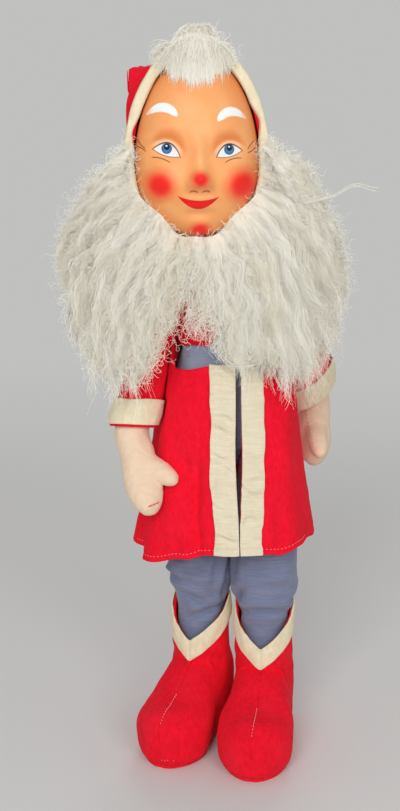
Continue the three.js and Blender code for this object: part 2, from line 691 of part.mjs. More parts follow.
// A point of the face, from the nose (0) to the rim (1), this far inside the mask's outside.
function facePoint(share, turn, inset) {
  const wide = faceHalfWidth - inset;
  const x = THREE.MathUtils.lerp(nose.x, wide * Math.cos(turn), share);
  const z = THREE.MathUtils.lerp(nose.z, ((Math.sin(turn) > 0 ? faceUp : faceDown) - inset) * Math.sin(turn), share);
  const tall = (z > 0 ? faceUp : faceDown) - inset;
  const edge = Math.min(1, (x / wide) ** 2 + (z / tall) ** 2);
  let y = (faceDepth - inset) * (1 - edge) ** 0.6;
  for (const bump of relief) {
    const off = ((x - bump.x) / bump.wide) ** 2 + ((z - bump.z) / bump.tall) ** 2;
    y += bump.height * Math.exp(-off) * (1 - edge ** 2);
  }
  return new THREE.Vector3(x, -y, z);
}

// A point of the head's back, grown out of the mask's outline by some millimetres.
function headBackPoint(share, turn, grow) {
  const side = Math.sin(turn) > 0 ? faceUp : faceDown;
  return new THREE.Vector3(
    (faceHalfWidth + grow) * share * Math.cos(turn),
    (headBackDepth + grow) * Math.max(0, 1 - share ** headFullness) ** (1 / headFullness),
    (side + grow) * share * Math.sin(turn),
  );
}

function polarRings(shares, sides, pointAt) {
  return shares.map((share) => Array.from({ length: sides }, (_, k) => pointAt(share, (2 * Math.PI * k) / sides)));
}

const faceShares = [0.06, 0.14, 0.23, 0.34, 0.47, 0.61, 0.75, 0.87, 0.95, 1];
const backShares = [1, 0.96, 0.88, 0.74, 0.56, 0.36, 0.14];
const headSides = 24;

function faceMask() {
  const outside = polarRings(faceShares, headSides, (share, turn) => facePoint(share, turn, 0));
  const inside = polarRings(faceShares, headSides, (share, turn) => facePoint(share, turn, faceThickness));
  return loft([...outside, ...inside.reverse()]);
}

// Where the neck stands, seen from the head's group.
const neckTurnBack = new THREE.Matrix4().makeRotationZ(-radians(headTurn));
const neckPlace = new THREE.Vector3(neckShift - headShift, neckDepth - faceRimDepth, 0).applyMatrix4(neckTurnBack);
const neckBottom = torsoTop + clearance - faceHeight;

function neckCylinder(radius, bottom, top) {
  const post = new THREE.CylinderGeometry(radius, radius, top - bottom, 28).rotateX(Math.PI / 2);
  return solidOf(post.translate(neckPlace.x, neckPlace.y, (top + bottom) / 2));
}

// The stuffed head fills the mask, and its neck stands on the torso.
function headCore() {
  const inset = faceThickness + clearance * 3;
  const front = polarRings(faceShares, headSides, (share, turn) => facePoint(share, turn, inset));
  const back = polarRings(backShares.slice(1), headSides, (share, turn) => headBackPoint(share, turn, -inset));
  const skull = solidOf(loft([...front, ...back]));
  return geometryOf(skull.add(neckCylinder(neckRadius, neckBottom, -faceDown / 2)));
}

// The hood is a felt bowl behind the face, with a limp corner and a way through for the neck.
function hood() {
  const grow = clearance;
  const bowl = (more) => polarRings(backShares, headSides, (share, turn) => headBackPoint(share, turn, grow + more));
  const shell = solidOf(loft([...bowl(feltThickness).reverse(), ...bowl(0)]));
  const inside = solidOf(loft([
    ...polarRings([0.2, 1], headSides, (share, turn) => headBackPoint(share, turn, grow).setY(-far / 100)),
    ...bowl(0),
  ]));
  const root = [-faceHalfWidth * 0.42, headBackDepth * 0.62, faceUp * 0.6];
  const corner = solidOf(loft(limbRings([
    { at: root, a: 17, b: 18 },
    { at: [root[0] - hoodCornerReach * 0.6, root[1] + 3, root[2] + 10], a: 12, b: 12, square: 3 },
    { at: [root[0] - hoodCornerReach, root[1] + 2, root[2] + 15], a: 6, b: 5, square: 3.4 },
  ], 7, 16)));
  const neckHole = neckCylinder(neckRadius + feltThickness, neckBottom - far, -faceDown / 2);
  return geometryOf(shell.add(corner.subtract(inside)).subtract(neckHole));
}

// The cream band lies along the front edge of the hood.
function hoodBand() {
  const steps = 30;
  const inner = feltThickness / 2;
  const outer = inner + hoodBandWidth;
  const front = -clearance - hoodBandDepth;
  const round = 1.6; // corners of its section
  const section = [
    [inner, front + round], [inner + round, front], [outer - round, front], [outer, front + round],
    [outer, -clearance - round], [outer - round, -clearance], [inner + round, -clearance], [inner, -clearance - round],
  ];
  const rings = Array.from({ length: steps + 1 }, (_, i) => {
    const turn = radians(THREE.MathUtils.lerp(-hoodBandEnd, 180 + hoodBandEnd, i / steps));
    return section.map(([grow, y]) => headBackPoint(1, turn, grow).setY(y));
  });
  return loft(rings);
}

// Wool that comes out over the band and falls on the forehead.
function forelock() {
  const half = forelockThickness / 2;
  const bandTop = faceUp + feltThickness / 2 + hoodBandWidth;
  const foreheadAt = (share) => facePoint(share, Math.PI / 2, 0).y - half - 1;
  const stations = [
    { at: [1, foreheadAt(0.68), faceUp * 0.68], a: forelockWidth * 0.1, b: half * 0.5 },
    { at: [1, foreheadAt(0.74) - 1, faceUp * 0.74], a: forelockWidth * 0.3, b: half },
    { at: [1, foreheadAt(0.86) - 2, faceUp * 0.88], a: forelockWidth * 0.5, b: half },
    { at: [1, -hoodBandDepth - half - 3, bandTop], a: forelockWidth * 0.42, b: half },
    { at: [0, -hoodBandDepth / 2, bandTop + half + 0.8], a: forelockWidth * 0.3, b: half },
    { at: [0, 2, bandTop + half + 0.8], a: forelockWidth * 0.12, b: half * 0.6 },
  ];
  return loft(limbRings(stations, 13, 14));
}

// The beard's outline from one temple round the bottom to the other, from the middle of the face.
const beardOutline = [
  [-44, 10], [-72, -13], [-85, -48], [-77, -90], [-60, -133], [-42, -139], [-21, -129], [-6, -104], [12, -107],
  [26, -120], [42, -120], [57, -132], [71, -122], [85, -93], [89, -63], [85, -30], [66, 2], [42, 18],
];

// How far forward the back of the beard hangs: over the band near the face, then over the collar, then the coat.
function beardBack(z) {
  const nearFace = hoodBandDepth + clearance * 2;
  const chest = torsoHalfDepth + clothThickness + 3 * clearance + beardGap + faceRimDepth;
  const coat = chest + coatEase + coatFlareFront * 0.4 + trimThickness;
  const onCollar = smooth(-z, faceDown * 0.3, faceDown * 1.2);
  const onCoat = smooth(-z, faceDown * 2, faceDown * 2.5);
  return -(nearFace + (chest - nearFace) * onCollar + (coat - chest) * onCoat);
}

function beard() {
  const columns = 35;
  const rows = 8;
  const edge = 4; // thickness along the outline
  const outline = new THREE.CatmullRomCurve3(beardOutline.map(([x, z]) => new THREE.Vector3(x, 0, z)));
  const start = radians(180 - 8);
  const end = radians(360 + 10);
  const grid = (share) => Array.from({ length: columns }, (_, j) => {
    const t = j / (columns - 1);
    const inner = headBackPoint(1, THREE.MathUtils.lerp(start, end, t), 1.5);
    const outer = outline.getPoint(t);
    return Array.from({ length: rows }, (__, i) => {
      const s = i / (rows - 1);
      const x = THREE.MathUtils.lerp(inner.x, outer.x, s);
      const z = THREE.MathUtils.lerp(inner.z, outer.z, s);
      const middle = Math.exp(-((x / faceHalfWidth) ** 2));
      const thickest = THREE.MathUtils.lerp(beardSideThickness, beardMiddleThickness, middle);
      const thick = edge + (thickest - edge) * Math.sin(Math.PI * (0.12 + 0.84 * s)) ** 0.8;
      return new THREE.Vector3(x, beardBack(z) - thick * share, z);
    });
  });
  return panel(grid(1), grid(0));
}

piece("head_stuffing", headCore(), "cream", head);
piece("face_mask", faceMask(), "face", head);
piece("hood", hood(), "red", head);
piece("hood_band", hoodBand(), "cream", head);
piece("forelock", forelock(), "wool", head);

piece("beard", beard(), "wool", head);

// The origin is at the bottom centre of the doll's box.
const box = new THREE.Box3().setFromObject(doll, true);
const middle = box.getCenter(new THREE.Vector3());
doll.position.set(-middle.x, -middle.y, -box.min.z);

export default doll;
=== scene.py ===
import json
from math import cos, pi, radians, sin

import bmesh
import bpy
import numpy as np
from mathutils import Matrix, Vector


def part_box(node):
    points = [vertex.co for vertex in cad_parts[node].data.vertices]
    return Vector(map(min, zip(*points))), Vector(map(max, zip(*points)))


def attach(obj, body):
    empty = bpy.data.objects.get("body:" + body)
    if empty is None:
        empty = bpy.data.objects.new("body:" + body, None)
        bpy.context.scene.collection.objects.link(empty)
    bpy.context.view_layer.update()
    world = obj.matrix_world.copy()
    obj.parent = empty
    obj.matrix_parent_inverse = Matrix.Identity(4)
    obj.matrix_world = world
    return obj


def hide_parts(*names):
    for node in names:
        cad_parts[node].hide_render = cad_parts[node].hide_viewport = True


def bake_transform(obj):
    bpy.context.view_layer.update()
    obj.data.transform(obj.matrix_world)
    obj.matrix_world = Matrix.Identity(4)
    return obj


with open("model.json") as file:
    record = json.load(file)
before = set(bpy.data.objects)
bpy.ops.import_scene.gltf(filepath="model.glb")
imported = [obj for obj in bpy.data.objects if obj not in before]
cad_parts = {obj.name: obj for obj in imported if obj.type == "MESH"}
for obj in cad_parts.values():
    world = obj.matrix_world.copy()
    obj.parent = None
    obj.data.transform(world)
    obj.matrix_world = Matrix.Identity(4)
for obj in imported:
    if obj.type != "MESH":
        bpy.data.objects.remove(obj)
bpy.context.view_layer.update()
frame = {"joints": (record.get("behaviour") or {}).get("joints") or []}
scene = bpy.context.scene
mm = 0.001               # shapes are worked out in millimetres, round the torso's axis

torsoLow, torsoHigh = (np.array(corner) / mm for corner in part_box("torso"))
dollMiddle = np.array([*(torsoLow + torsoHigh)[:2] / 2, 0])      # where that axis meets the floor
torsoBottom, torsoTop = torsoLow[2], torsoHigh[2]
pivots = {joint["name"]: np.array(joint["pos_m"]) / mm - dollMiddle for joint in frame["joints"]}
print("frame loaded, torso axis at", dollMiddle.round(2))


# Small tools

def lerp(low, high, share):
    return low + (high - low) * share


def smooth(value, low, high):
    share = np.clip((value - low) / (high - low), 0, 1)
    return share * share * (3 - 2 * share)


def unit(vectors):
    return vectors / np.maximum(np.linalg.norm(vectors, axis=-1, keepdims=True), 1e-9)


def turned(points, degrees):
    c, s = cos(radians(degrees)), sin(radians(degrees))
    return np.asarray(points) @ np.array([[c, s, 0], [-s, c, 0], [0, 0, 1]])


def spline(values, count):      # a smooth curve through rows of values
    values = np.asarray(values, float)
    at = np.linspace(0, len(values) - 1, count)
    i = np.clip(at.astype(int), 0, len(values) - 2)
    f = (at - i)[:, None]
    ends = np.vstack([2 * values[0] - values[1], values, 2 * values[-1] - values[-2]])
    a, b, c, d = (ends[i + k] for k in range(4))
    return 0.5 * (2 * b + (c - a) * f + (2 * a - 5 * b + 4 * c - d) * f**2 + (3 * b - a - 3 * c + d) * f**3)


def ripple(points, size, seed, waves=8):     # soft uneven bumps, about -1 to 1, this many millimetres across
    draw = np.random.default_rng(seed)
    ways = unit(draw.normal(size=(waves, 3))) / (size * draw.uniform(0.7, 1.6, (waves, 1)))
    return np.sin(2 * pi * (points @ ways.T + draw.uniform(0, 1, waves))).sum(-1) / waves * 1.7


def superRound(turn, power):    # a squarish circle
    c, s = np.cos(turn), np.sin(turn)
    return np.sign(c) * np.abs(c) ** (2 / power), np.sign(s) * np.abs(s) ** (2 / power)


def hump(off, width):   # a soft bump, 1 in its middle
    return np.exp(-((off / width) ** 2))


def roundOut(turn):     # level directions, turn 0 being the front
    return np.stack([np.sin(turn), -np.cos(turn), 0 * turn], -1)


def named(what, side):
    return what + side.capitalize()


def gridNormals(grid, wrap=False):
    padded = np.concatenate([grid[:, -1:], grid, grid[:, :1]], 1) if wrap else grid
    across = np.gradient(padded, axis=1)
    across = across[:, 1:-1] if wrap else across
    return unit(np.cross(across, np.gradient(grid, axis=0)))


def ringsAlong(centres, along, a, b, turn, power=2.0):
    across = unit(np.array([1.0, 0, 0]) - along * along[:, :1])
    other = np.cross(along, across)
    u, v = superRound(turn[None, :], np.reshape(power, (-1, 1)) if np.ndim(power) < 2 else power)
    return (centres[:, None] + (np.reshape(a, (-1, 1)) * u)[..., None] * across[:, None]
            + (np.reshape(b, (-1, 1)) * v)[..., None] * other[:, None])


def limb(stations, count, sides, power=2.0):    # stations hold x, y, z, half-width and half-depth
    rows = spline(stations, count)
    turn = np.arange(sides) * 2 * pi / sides
    along = unit(np.gradient(rows[:, :3], axis=0))
    return ringsAlong(rows[:, :3], along, rows[:, 3], rows[:, 4], turn, power)


# Meshes

def buildMesh(name, points, quads, caps=()):
    mesh = bpy.data.meshes.new(name)
    mesh.vertices.add(len(points))
    mesh.vertices.foreach_set("co", np.asarray(points, np.float32).ravel())
    corners = np.concatenate([np.asarray(part).ravel() for part in (quads, *caps)])
    ends = np.cumsum([4] * len(quads) + [len(cap) for cap in caps])
    mesh.loops.add(len(corners))
    mesh.loops.foreach_set("vertex_index", corners.astype(np.int32))
    mesh.polygons.add(len(ends))
    mesh.polygons.foreach_set("loop_start", np.concatenate([[0], ends[:-1]]).astype(np.int32))
    mesh.update(calc_edges=True)
    return mesh


def addObject(name, mesh, *finishes):
    mesh.shade_smooth()
    made = bpy.data.objects.new(name, mesh)
    scene.collection.objects.link(made)
    for finish in finishes:
        mesh.materials.append(finish)
    return made


def faceOut(mesh):
    work = bmesh.new()
    work.from_mesh(mesh)
    bmesh.ops.recalc_face_normals(work, faces=work.faces)
    work.to_mesh(mesh)
    work.free()


def applyModifiers(piece):
    graph = bpy.context.evaluated_depsgraph_get()
    mesh = bpy.data.meshes.new_from_object(piece.evaluated_get(graph), depsgraph=graph)
    piece.modifiers.clear()
    piece.data = mesh
    mesh.shade_smooth()


def readPoints(piece):
    values = np.zeros(len(piece.data.vertices) * 3, np.float32)
    piece.data.vertices.foreach_get("co", values)
    return values.reshape(-1, 3).astype(float) / mm - dollMiddle


def readNormals(piece):
    values = np.zeros(len(piece.data.vertices) * 3, np.float32)
    piece.data.vertices.foreach_get("normal", values)
    return values.reshape(-1, 3).astype(float)


def writePoints(piece, points):
    piece.data.vertices.foreach_set("co", ((points + dollMiddle) * mm).astype(np.float32).ravel())
    piece.data.update()


def skin(name, grid, finish, wrap=False, caps=(), thick=0, finer=1, local=False):
    # a cloth over a grid of points, with its own flat coordinates in millimetres; wrap closes it round
    rows, columns = grid.shape[:2]
    number = np.arange(rows * columns).reshape(rows, columns)
    if wrap:
        number = np.concatenate([number, number[:, :1]], 1)
    quads = np.stack([number[:-1, :-1], number[:-1, 1:], number[1:, 1:], number[1:, :-1]], -1).reshape(-1, 4)
    looped = np.concatenate([grid, grid[:, :1]], 1) if wrap else grid
    u = np.concatenate([[0], np.cumsum(np.linalg.norm(np.diff(looped, axis=1), axis=-1).mean(0))])
    v = np.concatenate([[0], np.cumsum(np.linalg.norm(np.diff(grid, axis=0), axis=-1).mean(1))])
    flat = np.stack(np.broadcast_arrays(u[None, :], v[:, None]), -1)
    flatCorners = np.stack([flat[:-1, :-1], flat[:-1, 1:], flat[1:, 1:], flat[1:, :-1]], -2).reshape(-1, 2)
    rings = [number[end, :columns] for end in caps]
    capCorners = [flat[end, :columns] for end in caps]
    points = grid.reshape(-1, 3) * mm if local else (grid.reshape(-1, 3) + dollMiddle) * mm
    mesh = buildMesh(name, points, quads, rings)
    layer = mesh.uv_layers.new(name="cloth")
    layer.data.foreach_set("uv", np.concatenate([flatCorners, *capCorners]).astype(np.float32).ravel())
    if len(caps) == 2 and wrap:
        faceOut(mesh)
    made = addObject(name, mesh, finish)
    if thick:
        wall = made.modifiers.new("wall", "SOLIDIFY")
        wall.thickness = thick * mm
        wall.offset = -1
    if finer:
        rounder = made.modifiers.new("rounder", "SUBSURF")
        rounder.levels = rounder.render_levels = finer
    return made


def strandMesh(name, paths, radii, tones, finishes, facing=None):   # thin three-sided fibres, each closed
    count, steps = paths.shape[:2]
    along = unit(np.gradient(paths, axis=1))
    side = unit(np.cross(np.array([0.31, 0.2, 0.93]) if facing is None else facing, along))
    other = np.cross(along, side)
    turn = np.radians([30, 150, 270])       # one flat side outwards
    ring = (side[:, :, None] * np.cos(turn)[:, None] + other[:, :, None] * np.sin(turn)[:, None])
    points = paths[:, :, None] + ring * radii[..., None, None]
    number = np.arange(count * steps * 3).reshape(count, steps, 3)
    after = np.roll(number, -1, axis=2)
    quads = np.stack([number[:, :-1], after[:, :-1], after[:, 1:], number[:, 1:]], -1).reshape(count, -1, 4)
    ends = np.concatenate([number[:, 0, ::-1], number[:, -1]])
    mesh = buildMesh(name, (points.reshape(-1, 3) + dollMiddle) * mm, quads.reshape(-1, 4), list(ends))
    perStrand = quads.shape[1]
    slots = np.concatenate([np.repeat(tones, perStrand), tones, tones])
    mesh.polygons.foreach_set("material_index", slots.astype(np.int32))
    made = addObject(name, mesh, *finishes)
    if facing is not None:      # fibres in a mat are lit as the mat is
        lit = unit(ring * np.array([0.45, 0.45, 1.6])[:, None] + facing[:, :, None])
        mesh.normals_split_custom_set_from_vertices(lit.reshape(-1, 3))
    return made


def stitchMesh(name, starts, ends, outward, thickness, finish):     # a row of sewn stitches
    share = np.array([0, 0.2, 0.5, 0.8, 1])
    rise = np.array([-0.2, 0.7, 1, 0.7, -0.2])
    paths = lerp(starts[:, None], ends[:, None], share[None, :, None])
    paths = paths + outward[:, None] * (rise * thickness)[None, :, None]
    radii = np.broadcast_to(np.array([0.5, 0.9, 1, 0.9, 0.5]) * thickness / 2, paths.shape[:2])
    return strandMesh(name, paths, radii, np.zeros(len(paths), int), [finish])


def stitchRow(line, outward, length, gap):      # stitch ends along a line of points
    run = np.concatenate([[0], np.cumsum(np.linalg.norm(np.diff(line, axis=0), axis=1))])
    firsts = np.arange(gap, run[-1] - length, length + gap)
    at = lambda where, what: np.stack([np.interp(where, run, what[:, k]) for k in range(3)], -1)
    return at(firsts, line), at(firsts + length, line), unit(at(firsts + length / 2, outward))


def cutSize(grid, wrap=False):      # a cut's width, length and area, in metres
    grid = np.concatenate([grid, grid[:, :1]], 1) if wrap else grid
    width = np.linalg.norm(np.diff(grid, axis=1), axis=-1).sum(1).max() * mm
    length = np.linalg.norm(np.diff(grid, axis=0), axis=-1).sum(0).max() * mm
    sides = np.cross(grid[1:, 1:] - grid[:-1, :-1], grid[1:, :-1] - grid[:-1, 1:])
    area = np.linalg.norm(sides, axis=-1).sum() / 2 * mm * mm
    return (round(width, 4), round(length, 4)), float(np.clip(area, 0.3 * width * length, width * length))


def rideOf(piece, body, node=None):
    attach(piece, body)
    if node:
        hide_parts(node)


def sheetOf(piece, body, node, cut):
    rideOf(piece, body, node)


def paddedOf(piece, body, node):
    rideOf(piece, body, node)


# Shaders

class Flow:     # a socket that takes part in sums
    def __init__(self, paint, socket):
        self.paint = paint
        self.socket = socket

    def maths(self, operation, *values):
        return self.paint.node("Math", {"operation": operation}, dict(enumerate(values)))

    def __add__(self, other):
        return self.maths("ADD", self, other)

    def __sub__(self, other):
        return self.maths("SUBTRACT", self, other)

    def __rsub__(self, other):
        return self.maths("SUBTRACT", other, self)

    def __mul__(self, other):
        return self.maths("MULTIPLY", self, other)

    def __truediv__(self, other):
        return self.maths("DIVIDE", self, other)

    def __abs__(self):
        return self.maths("ABSOLUTE", self)

    def sine(self):
        return self.maths("SINE", self)

    def root(self):
        return self.maths("SQRT", self)

    def least(self, other):
        return self.maths("MINIMUM", self, other)

    def most(self, other):
        return self.maths("MAXIMUM", self, other)

    def rise(self, low, high):      # 0 at low and 1 at high, smooth between
        sockets = {"Value": self, "From Min": low, "From Max": high}
        return self.paint.node("MapRange", {"interpolation_type": "SMOOTHSTEP"}, sockets)

    __radd__ = __add__
    __rmul__ = __mul__


class Paint:    # one material, with its nodes
    def __init__(self, name, constants):
        self.material = bpy.data.materials.new(name)
        self.material.use_nodes = True
        self.tree = self.material.node_tree
        self.shader = self.tree.nodes["Principled BSDF"]
        for socket, value in constants.items():
            self.feed(self.shader.inputs[socket], value)

    def feed(self, socket, value):
        if isinstance(value, Flow):
            self.tree.links.new(value.socket, socket)
        elif socket.type == "RGBA" and len(value) == 3:
            socket.default_value = (*value, 1)
        else:
            socket.default_value = value

    def node(self, kind, settings=None, sockets=None, out=0):
        made = self.tree.nodes.new("ShaderNode" + kind)
        for key, value in (settings or {}).items():
            setattr(made, key, value)
        for key, value in (sockets or {}).items():
            self.feed(made.inputs[key], value)
        return Flow(self, made.outputs[out])

    def mix(self, factor, first, second):
        return self.node("Mix", {"data_type": "RGBA"}, {0: factor, 6: first, 7: second}, out=2)

    def place(self):        # the piece's own coordinates, in millimetres
        here = self.node("TexCoord", out=3)
        return self.node("VectorMath", {"operation": "SCALE"}, {0: here, "Scale": 1 / mm})

    def clothPlace(self):   # across and along the cloth as it was cut, in millimetres
        return self.node("UVMap", {"uv_map": "cloth"})

    def parts(self, vector):
        split = self.node("SeparateXYZ", None, {0: vector})
        return [Flow(self, socket) for socket in split.socket.node.outputs]

    def stretched(self, vector, x, y, z):
        return self.node("VectorMath", {"operation": "MULTIPLY"}, {0: vector, 1: (x, y, z)})

    def noise(self, vector, size, detail=3.0, rough=0.6):
        sockets = {"Vector": vector, "Scale": 1 / size, "Detail": detail, "Roughness": rough}
        return self.node("TexNoise", None, sockets)

    def use(self, colour=None, roughness=None, height=None, strength=0.5, deep=0.4):
        if colour is not None:
            self.feed(self.shader.inputs["Base Color"], colour)
        if roughness is not None:
            self.feed(self.shader.inputs["Roughness"], roughness)
        if height is not None:
            bump = self.node("Bump", None, {"Strength": strength, "Distance": deep * mm, "Height": height})
            self.feed(self.shader.inputs["Normal"], bump)
        return self.material


def feltFinish(name, look):     # matted fibres with a soft bloom
    paint = Paint(name, {"Sheen Weight": look["bloom"], "Sheen Roughness": 0.45,
                         "Sheen Tint": look["bloomTint"], "Specular IOR Level": 0.2})
    where = paint.place()
    fibres = paint.noise(where, look["fibre"], 6, 0.75)
    tufts = paint.noise(paint.stretched(where, 1, 1, 0.45), look["fibre"] * 5, 4, 0.65)
    worn = paint.noise(where, look["patch"], 3, 0.55)
    shade = (fibres * 0.5 + tufts * 0.5).rise(0.32, 0.68)
    colour = paint.mix(shade, look["dark"], look["light"])
    colour = paint.mix(worn.rise(0.45, 0.75) * look["wear"], colour, look["worn"])
    return paint.use(colour, 0.86 + fibres * 0.14, fibres * 0.6 + tufts * 0.6, look["bump"], 0.5)


def wovenFinish(name, look):    # plain weave with slubs; threads follow the cut cloth
    paint = Paint(name, {"Sheen Weight": look["bloom"], "Sheen Roughness": 0.5, "Specular IOR Level": 0.2})
    where = paint.clothPlace() if look["flat"] else paint.place()
    across, along, up = paint.parts(where)
    if not look["flat"]:
        along, up = up, along
        across = across + up * 0.7
    wave = 2 * pi / look["thread"]
    warp = (across * wave).sine()
    weft = (along * wave).sine()
    weave = (warp * weft) * 0.5 + 0.5
    slub = paint.noise(paint.stretched(where, 1 / 9, 1, 1 / 9), look["thread"] * 2.2, 4, 0.6)
    fuzz = paint.noise(paint.place(), look["thread"] * 1.4, 4, 0.7)
    stain = paint.noise(paint.place(), look["patch"], 4, 0.55)
    shade = (weave * 0.3 + slub * 0.45 + fuzz * 0.35).rise(0.3, 0.8)
    colour = paint.mix(shade, look["dark"], look["light"])
    colour = paint.mix(stain.rise(0.5, 0.78) * look["wear"], colour, look["worn"])
    return paint.use(colour, 0.82 + fuzz * 0.18, weave * 0.5 + slub * 0.5 + fuzz * 0.4, look["bump"], 0.35)


def threadFinish(name, colour):     # one even colour, for fibres and stitches
    return Paint(name, {"Base Color": colour, "Roughness": 0.8, "Specular IOR Level": 0.25,
                        "Sheen Weight": 0.25, "Sheen Roughness": 0.4}).material


redFelt = feltFinish("redFelt", {
    "light": (0.95, 0.005, 0.028), "dark": (0.70, 0.002, 0.014), "worn": (0.95, 0.018, 0.045), "wear": 0.35,
    "fibre": 0.55, "patch": 22, "bloom": 0.14, "bloomTint": (1.0, 0.1, 0.13), "bump": 0.5})
redFlannel = feltFinish("redFlannel", {
    "light": (0.95, 0.005, 0.030), "dark": (0.73, 0.002, 0.016), "worn": (0.96, 0.014, 0.042), "wear": 0.3,
    "fibre": 0.42, "patch": 30, "bloom": 0.12, "bloomTint": (1.0, 0.1, 0.13), "bump": 0.35})
creamFelt = feltFinish("creamFelt", {
    "light": (0.87, 0.79, 0.58), "dark": (0.72, 0.62, 0.42), "worn": (0.70, 0.58, 0.40), "wear": 0.3,
    "fibre": 0.5, "patch": 14, "bloom": 0.2, "bloomTint": (1, 0.97, 0.9), "bump": 0.4})
creamCotton = wovenFinish("creamCotton", {
    "light": (0.86, 0.78, 0.59), "dark": (0.66, 0.57, 0.41), "worn": (0.66, 0.54, 0.39), "wear": 0.35,
    "thread": 0.7, "patch": 11, "bloom": 0.15, "bump": 0.45, "flat": True})
blueCotton = wovenFinish("blueCotton", {
    "light": (0.24, 0.27, 0.40), "dark": (0.13, 0.15, 0.24), "worn": (0.28, 0.295, 0.38), "wear": 0.5,
    "thread": 0.6, "patch": 16, "bloom": 0.25, "bump": 0.4, "flat": True})
shirtCotton = wovenFinish("shirtCotton", {
    "light": (0.40, 0.455, 0.60), "dark": (0.285, 0.33, 0.45), "worn": (0.42, 0.46, 0.56), "wear": 0.4,
    "thread": 0.6, "patch": 16, "bloom": 0.25, "bump": 0.4, "flat": True})
skinCotton = wovenFinish("skinCotton", {
    "light": (0.90, 0.70, 0.52), "dark": (0.75, 0.55, 0.39), "worn": (0.76, 0.56, 0.40), "wear": 0.3,
    "thread": 0.55, "patch": 14, "bloom": 0.2, "bump": 0.35, "flat": False})
waddingFinish = feltFinish("wadding", {
    "light": (0.82, 0.79, 0.70), "dark": (0.66, 0.62, 0.53), "worn": (0.72, 0.68, 0.58), "wear": 0.3,
    "fibre": 0.8, "patch": 12, "bloom": 0.1, "bloomTint": (1, 1, 1), "bump": 0.6})
paleThread = threadFinish("paleThread", (0.88, 0.62, 0.58))
creamThread = threadFinish("creamThread", (0.66, 0.57, 0.42))
seamThread = threadFinish("seamThread", (0.62, 0.45, 0.31))
redThread = threadFinish("redThread", (0.85, 0.008, 0.02))
woolTones = [threadFinish("wool" + str(number), colour) for number, colour in enumerate([
    (0.98, 0.95, 0.85), (0.965, 0.92, 0.795), (0.94, 0.885, 0.735), (0.89, 0.825, 0.67)])]


def woolFinish():       # the matted wool under the fibres, drawn out along the locks
    paint = Paint("woolDeep", {"Sheen Weight": 0.4, "Sheen Roughness": 0.5, "Specular IOR Level": 0.15})
    where = paint.clothPlace()
    crimp = paint.noise(paint.place(), 5, 2, 0.5)
    across, along, _ = paint.parts(where)
    bent = paint.node("CombineXYZ", None, {0: across * 0.12, 1: along + crimp * 5, 2: 0.0})
    fibres = paint.noise(bent, 0.7, 5, 0.7)
    locks = paint.noise(bent, 4.5, 3, 0.6)
    shade = (fibres * 0.55 + locks * 0.45).rise(0.3, 0.62)
    return paint.use(paint.mix(shade, (0.84, 0.785, 0.64), (0.98, 0.95, 0.85)), 1.0, fibres + locks, 0.6, 0.9)


woolDeep = woolFinish()
print("finishes ready")


# Camera and studio

view = {"place": (-3.743, -687.668, 400), "down": 13.9, "lens": 49.54}
camera = bpy.data.objects.new("camera", bpy.data.cameras.new("camera"))
camera.location = np.array(view["place"]) * mm
camera.rotation_euler = (radians(90 - view["down"]), 0, 0)
camera.data.lens = view["lens"]
scene.collection.objects.link(camera)
scene.camera = camera
scene.view_settings.view_transform = "Standard"

studio = {
    "paper": (0.68, 0.68, 0.67), "air": (0.53, 0.53, 0.52), "fill": 0.40,
    "floorRadius": 5.0, "fadeFrom": 400, "fadeTo": 1300,
    "lamps": [      # place, aim, size, watts
        ((-0.38, -1.45, 1.00), (0, 0, 0.27), 0.7, 12.5),
        ((0.62, -1.40, 0.75), (0, 0, 0.25), 0.7, 6.5),
        ((0.2, 1.3, 1.2), (0, 0, 0.3), 0.8, 5.0)]}


def seenDirectly(nodes, links):     # 1 for rays from the camera, mirrors and glass
    rays = nodes.new("ShaderNodeLightPath")
    total = None
    for name in ("Is Camera Ray", "Is Glossy Ray", "Is Transmission Ray"):
        if total is None:
            total = rays.outputs[name]
            continue
        plus = nodes.new("ShaderNodeMath")
        plus.operation = "MAXIMUM"
        links.new(total, plus.inputs[0])
        links.new(rays.outputs[name], plus.inputs[1])
        total = plus.outputs[0]
    return total


def makeFloor():
    turn = np.arange(96) * 2 * pi / 96
    reach = np.array([0.02, 0.3, 0.8, 1.6, studio["floorRadius"]])[:, None] / mm
    grid = np.stack([reach * np.cos(turn), reach * np.sin(turn), 0 * reach * turn], -1)
    paint = Paint("floorPaper", {"Roughness": 0.9, "Specular IOR Level": 0.1})
    grain = paint.noise(paint.place(), 3.0, 4, 0.6)
    lit = paint.mix(grain, tuple(0.985 * c for c in studio["paper"]), studio["paper"])
    material = paint.use(lit, None, grain, 0.05, 0.2)
    far = paint.node("VectorMath", {"operation": "LENGTH"}, {0: paint.place()}, out=1)
    nodes, links = paint.tree.nodes, paint.tree.links
    fade = far.rise(studio["fadeFrom"], studio["fadeTo"]) * Flow(paint, seenDirectly(nodes, links))
    air = paint.node("Emission", None, {"Color": studio["air"], "Strength": 1.0})
    mixed = paint.node("MixShader", None, {0: fade, 1: Flow(paint, paint.shader.outputs[0]), 2: air})
    paint.feed(nodes["Material Output"].inputs["Surface"], mixed)
    floor = skin("floor", grid, material, wrap=True, caps=(0,), finer=0, local=True)
    faceOut(floor.data)


